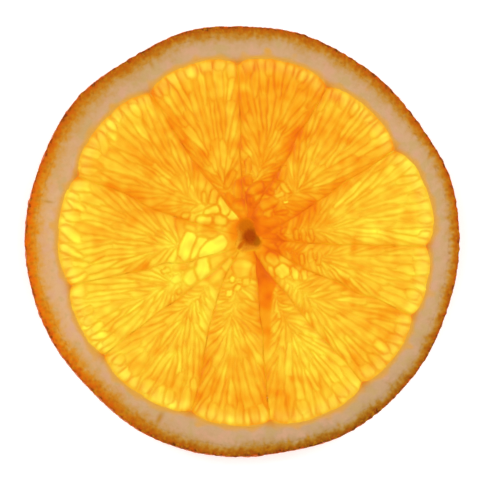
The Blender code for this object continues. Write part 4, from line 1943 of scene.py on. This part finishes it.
@dataclass
class Studio:
    """A white floor under soft light, seen from straight above."""

    floor_size: float = 4.0
    floor_drop: float = 0.00002  # below the slice, in metres
    floor_glow: float = 0.30
    camera_height: float = 0.40
    view_width: float = 86.3
    aim: Range = (0.47, 0.465)  # off the slice's middle
    upper_power: float = 2.45
    side_power: float = 1.6
    world_level: float = 0.30

    UPPER = tuple(Vector((x * 0.45, y * 0.45, 0.78)) for x, y in ((1, 1), (-1, 1), (-1, -1), (1, -1)))
    SIDES = (Vector((-0.7, 0.25, 0.7)), Vector((0.7, 0.3, 0.7)))

    def floor(self) -> None:
        """Lay the floor, just under the slice."""
        half, drop = self.floor_size / 2.0, -self.floor_drop
        mesh = bpy.data.meshes.new("floor")
        corners = [(-half, -half, drop), (half, -half, drop), (half, half, drop), (-half, half, drop)]
        mesh.from_pydata(corners, [], [(0, 1, 2, 3)])
        material = bpy.data.materials.new("floor_white")
        material.use_nodes = True
        shader = material.node_tree.nodes["Principled BSDF"]
        values = {"Base Color": (0.96, 0.96, 0.96, 1.0), "Roughness": 0.9, "Specular IOR Level": 0.1,
                  "Emission Color": (1.0, 1.0, 1.0, 1.0), "Emission Strength": self.floor_glow}
        for label, value in values.items():
            shader.inputs[label].default_value = value
        mesh.materials.append(material)
        floor = bpy.data.objects.new("floor", mesh)
        bpy.context.scene.collection.objects.link(floor)

    def lamp(self, name: str, power: float, size: float, place: Vector, glossy: bool) -> None:
        """Hang a soft lamp that points at the slice.

        Args:
            name: Its name.
            power: Its power in watts.
            size: The side of its square face, in metres.
            place: Where it hangs, in metres.
            glossy: Whether it shows in reflections.
        """
        light = bpy.data.lights.new(name, "AREA")
        light.energy = power
        light.size = size
        lamp = bpy.data.objects.new(name, light)
        lamp.location = place
        lamp.rotation_euler = (-place).to_track_quat("-Z", "Y").to_euler()
        lamp.visible_glossy = glossy
        bpy.context.scene.collection.objects.link(lamp)

    def lights(self) -> None:
        """Light the slice from all round, mostly from above."""
        for number, place in enumerate(self.UPPER):
            self.lamp(f"upper_{number + 1}", self.upper_power, 0.5, place, glossy=False)
        for number, place in enumerate(self.SIDES):
            self.lamp(f"side_{number + 1}", self.side_power, 0.5, place, glossy=True)
        world = bpy.data.worlds.new("studio")
        world.use_nodes = True
        background = world.node_tree.nodes["Background"]
        background.inputs["Color"].default_value = (1.0, 1.0, 1.0, 1.0)
        background.inputs["Strength"].default_value = self.world_level
        bpy.context.scene.world = world
        bpy.context.scene.view_settings.view_transform = "Standard"

    def camera(self, low: Vector, high: Vector) -> None:
        """Hang the camera straight above the slice.

        Args:
            low: The slice's lowest corner.
            high: Its highest corner.
        """
        lens = bpy.data.cameras.new("camera")
        middle = (low + high) / 2.0
        lens.lens = lens.sensor_width * self.camera_height / (self.view_width * MM)
        camera = bpy.data.objects.new("camera", lens)
        offset = (self.aim[0] * MM, self.aim[1] * MM, self.camera_height)
        camera.location = [centre + shift for centre, shift in zip(middle, offset)]
        bpy.context.scene.collection.objects.link(camera)
        bpy.context.scene.camera = camera


def main() -> None:
    """Build the slice's pieces in order, dress them and set up the studio."""
    logging.basicConfig(level=logging.INFO, format="%(name)s: %(message)s")
    low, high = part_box(NODE)
    plan = Plan.fitted(low, high)
    rind = Rind(plan)
    glow = Glow()
    effects = Effects(Mottle(), WetSkin(), RindSection())
    pulp = PulpFinish("pulp", wet=0.26, dry=0.40, specular=0.15, grain=0.25, mottle=0.06, bump=0.012)
    membrane = MembraneFinish(
        "membrane", wet=0.30, dry=0.45, specular=0.15, grain=0.2, mottle=0.10, bump=0.015)
    pith = PithFinish("pith", wet=0.6, dry=0.8, specular=0.2, grain=0.3, mottle=0.10, bump=0.03)
    peel = PeelFinish("peel", wet=0.38, dry=0.55, specular=0.15, grain=0.3, mottle=0.14, bump=0.02)
    core = CoreFinish("core", wet=0.5, dry=0.75, specular=0.08, grain=0.2, mottle=0.18, bump=0.03)

    pulp_material = pulp.material(effects)
    for index in range(len(SEGMENTS)):
        Wedge(plan, glow, index).build(pulp_material)
    Membranes(plan, glow).build(membrane.material(effects))
    Pith(plan, rind).build(pith.material(effects))
    Peel(plan, rind).build(peel.material(effects))
    Core(plan, glow).build(core.material(effects))

    studio = Studio()
    studio.floor()
    studio.lights()
    studio.camera(low, high)


if __name__ == "__main__":
    main()
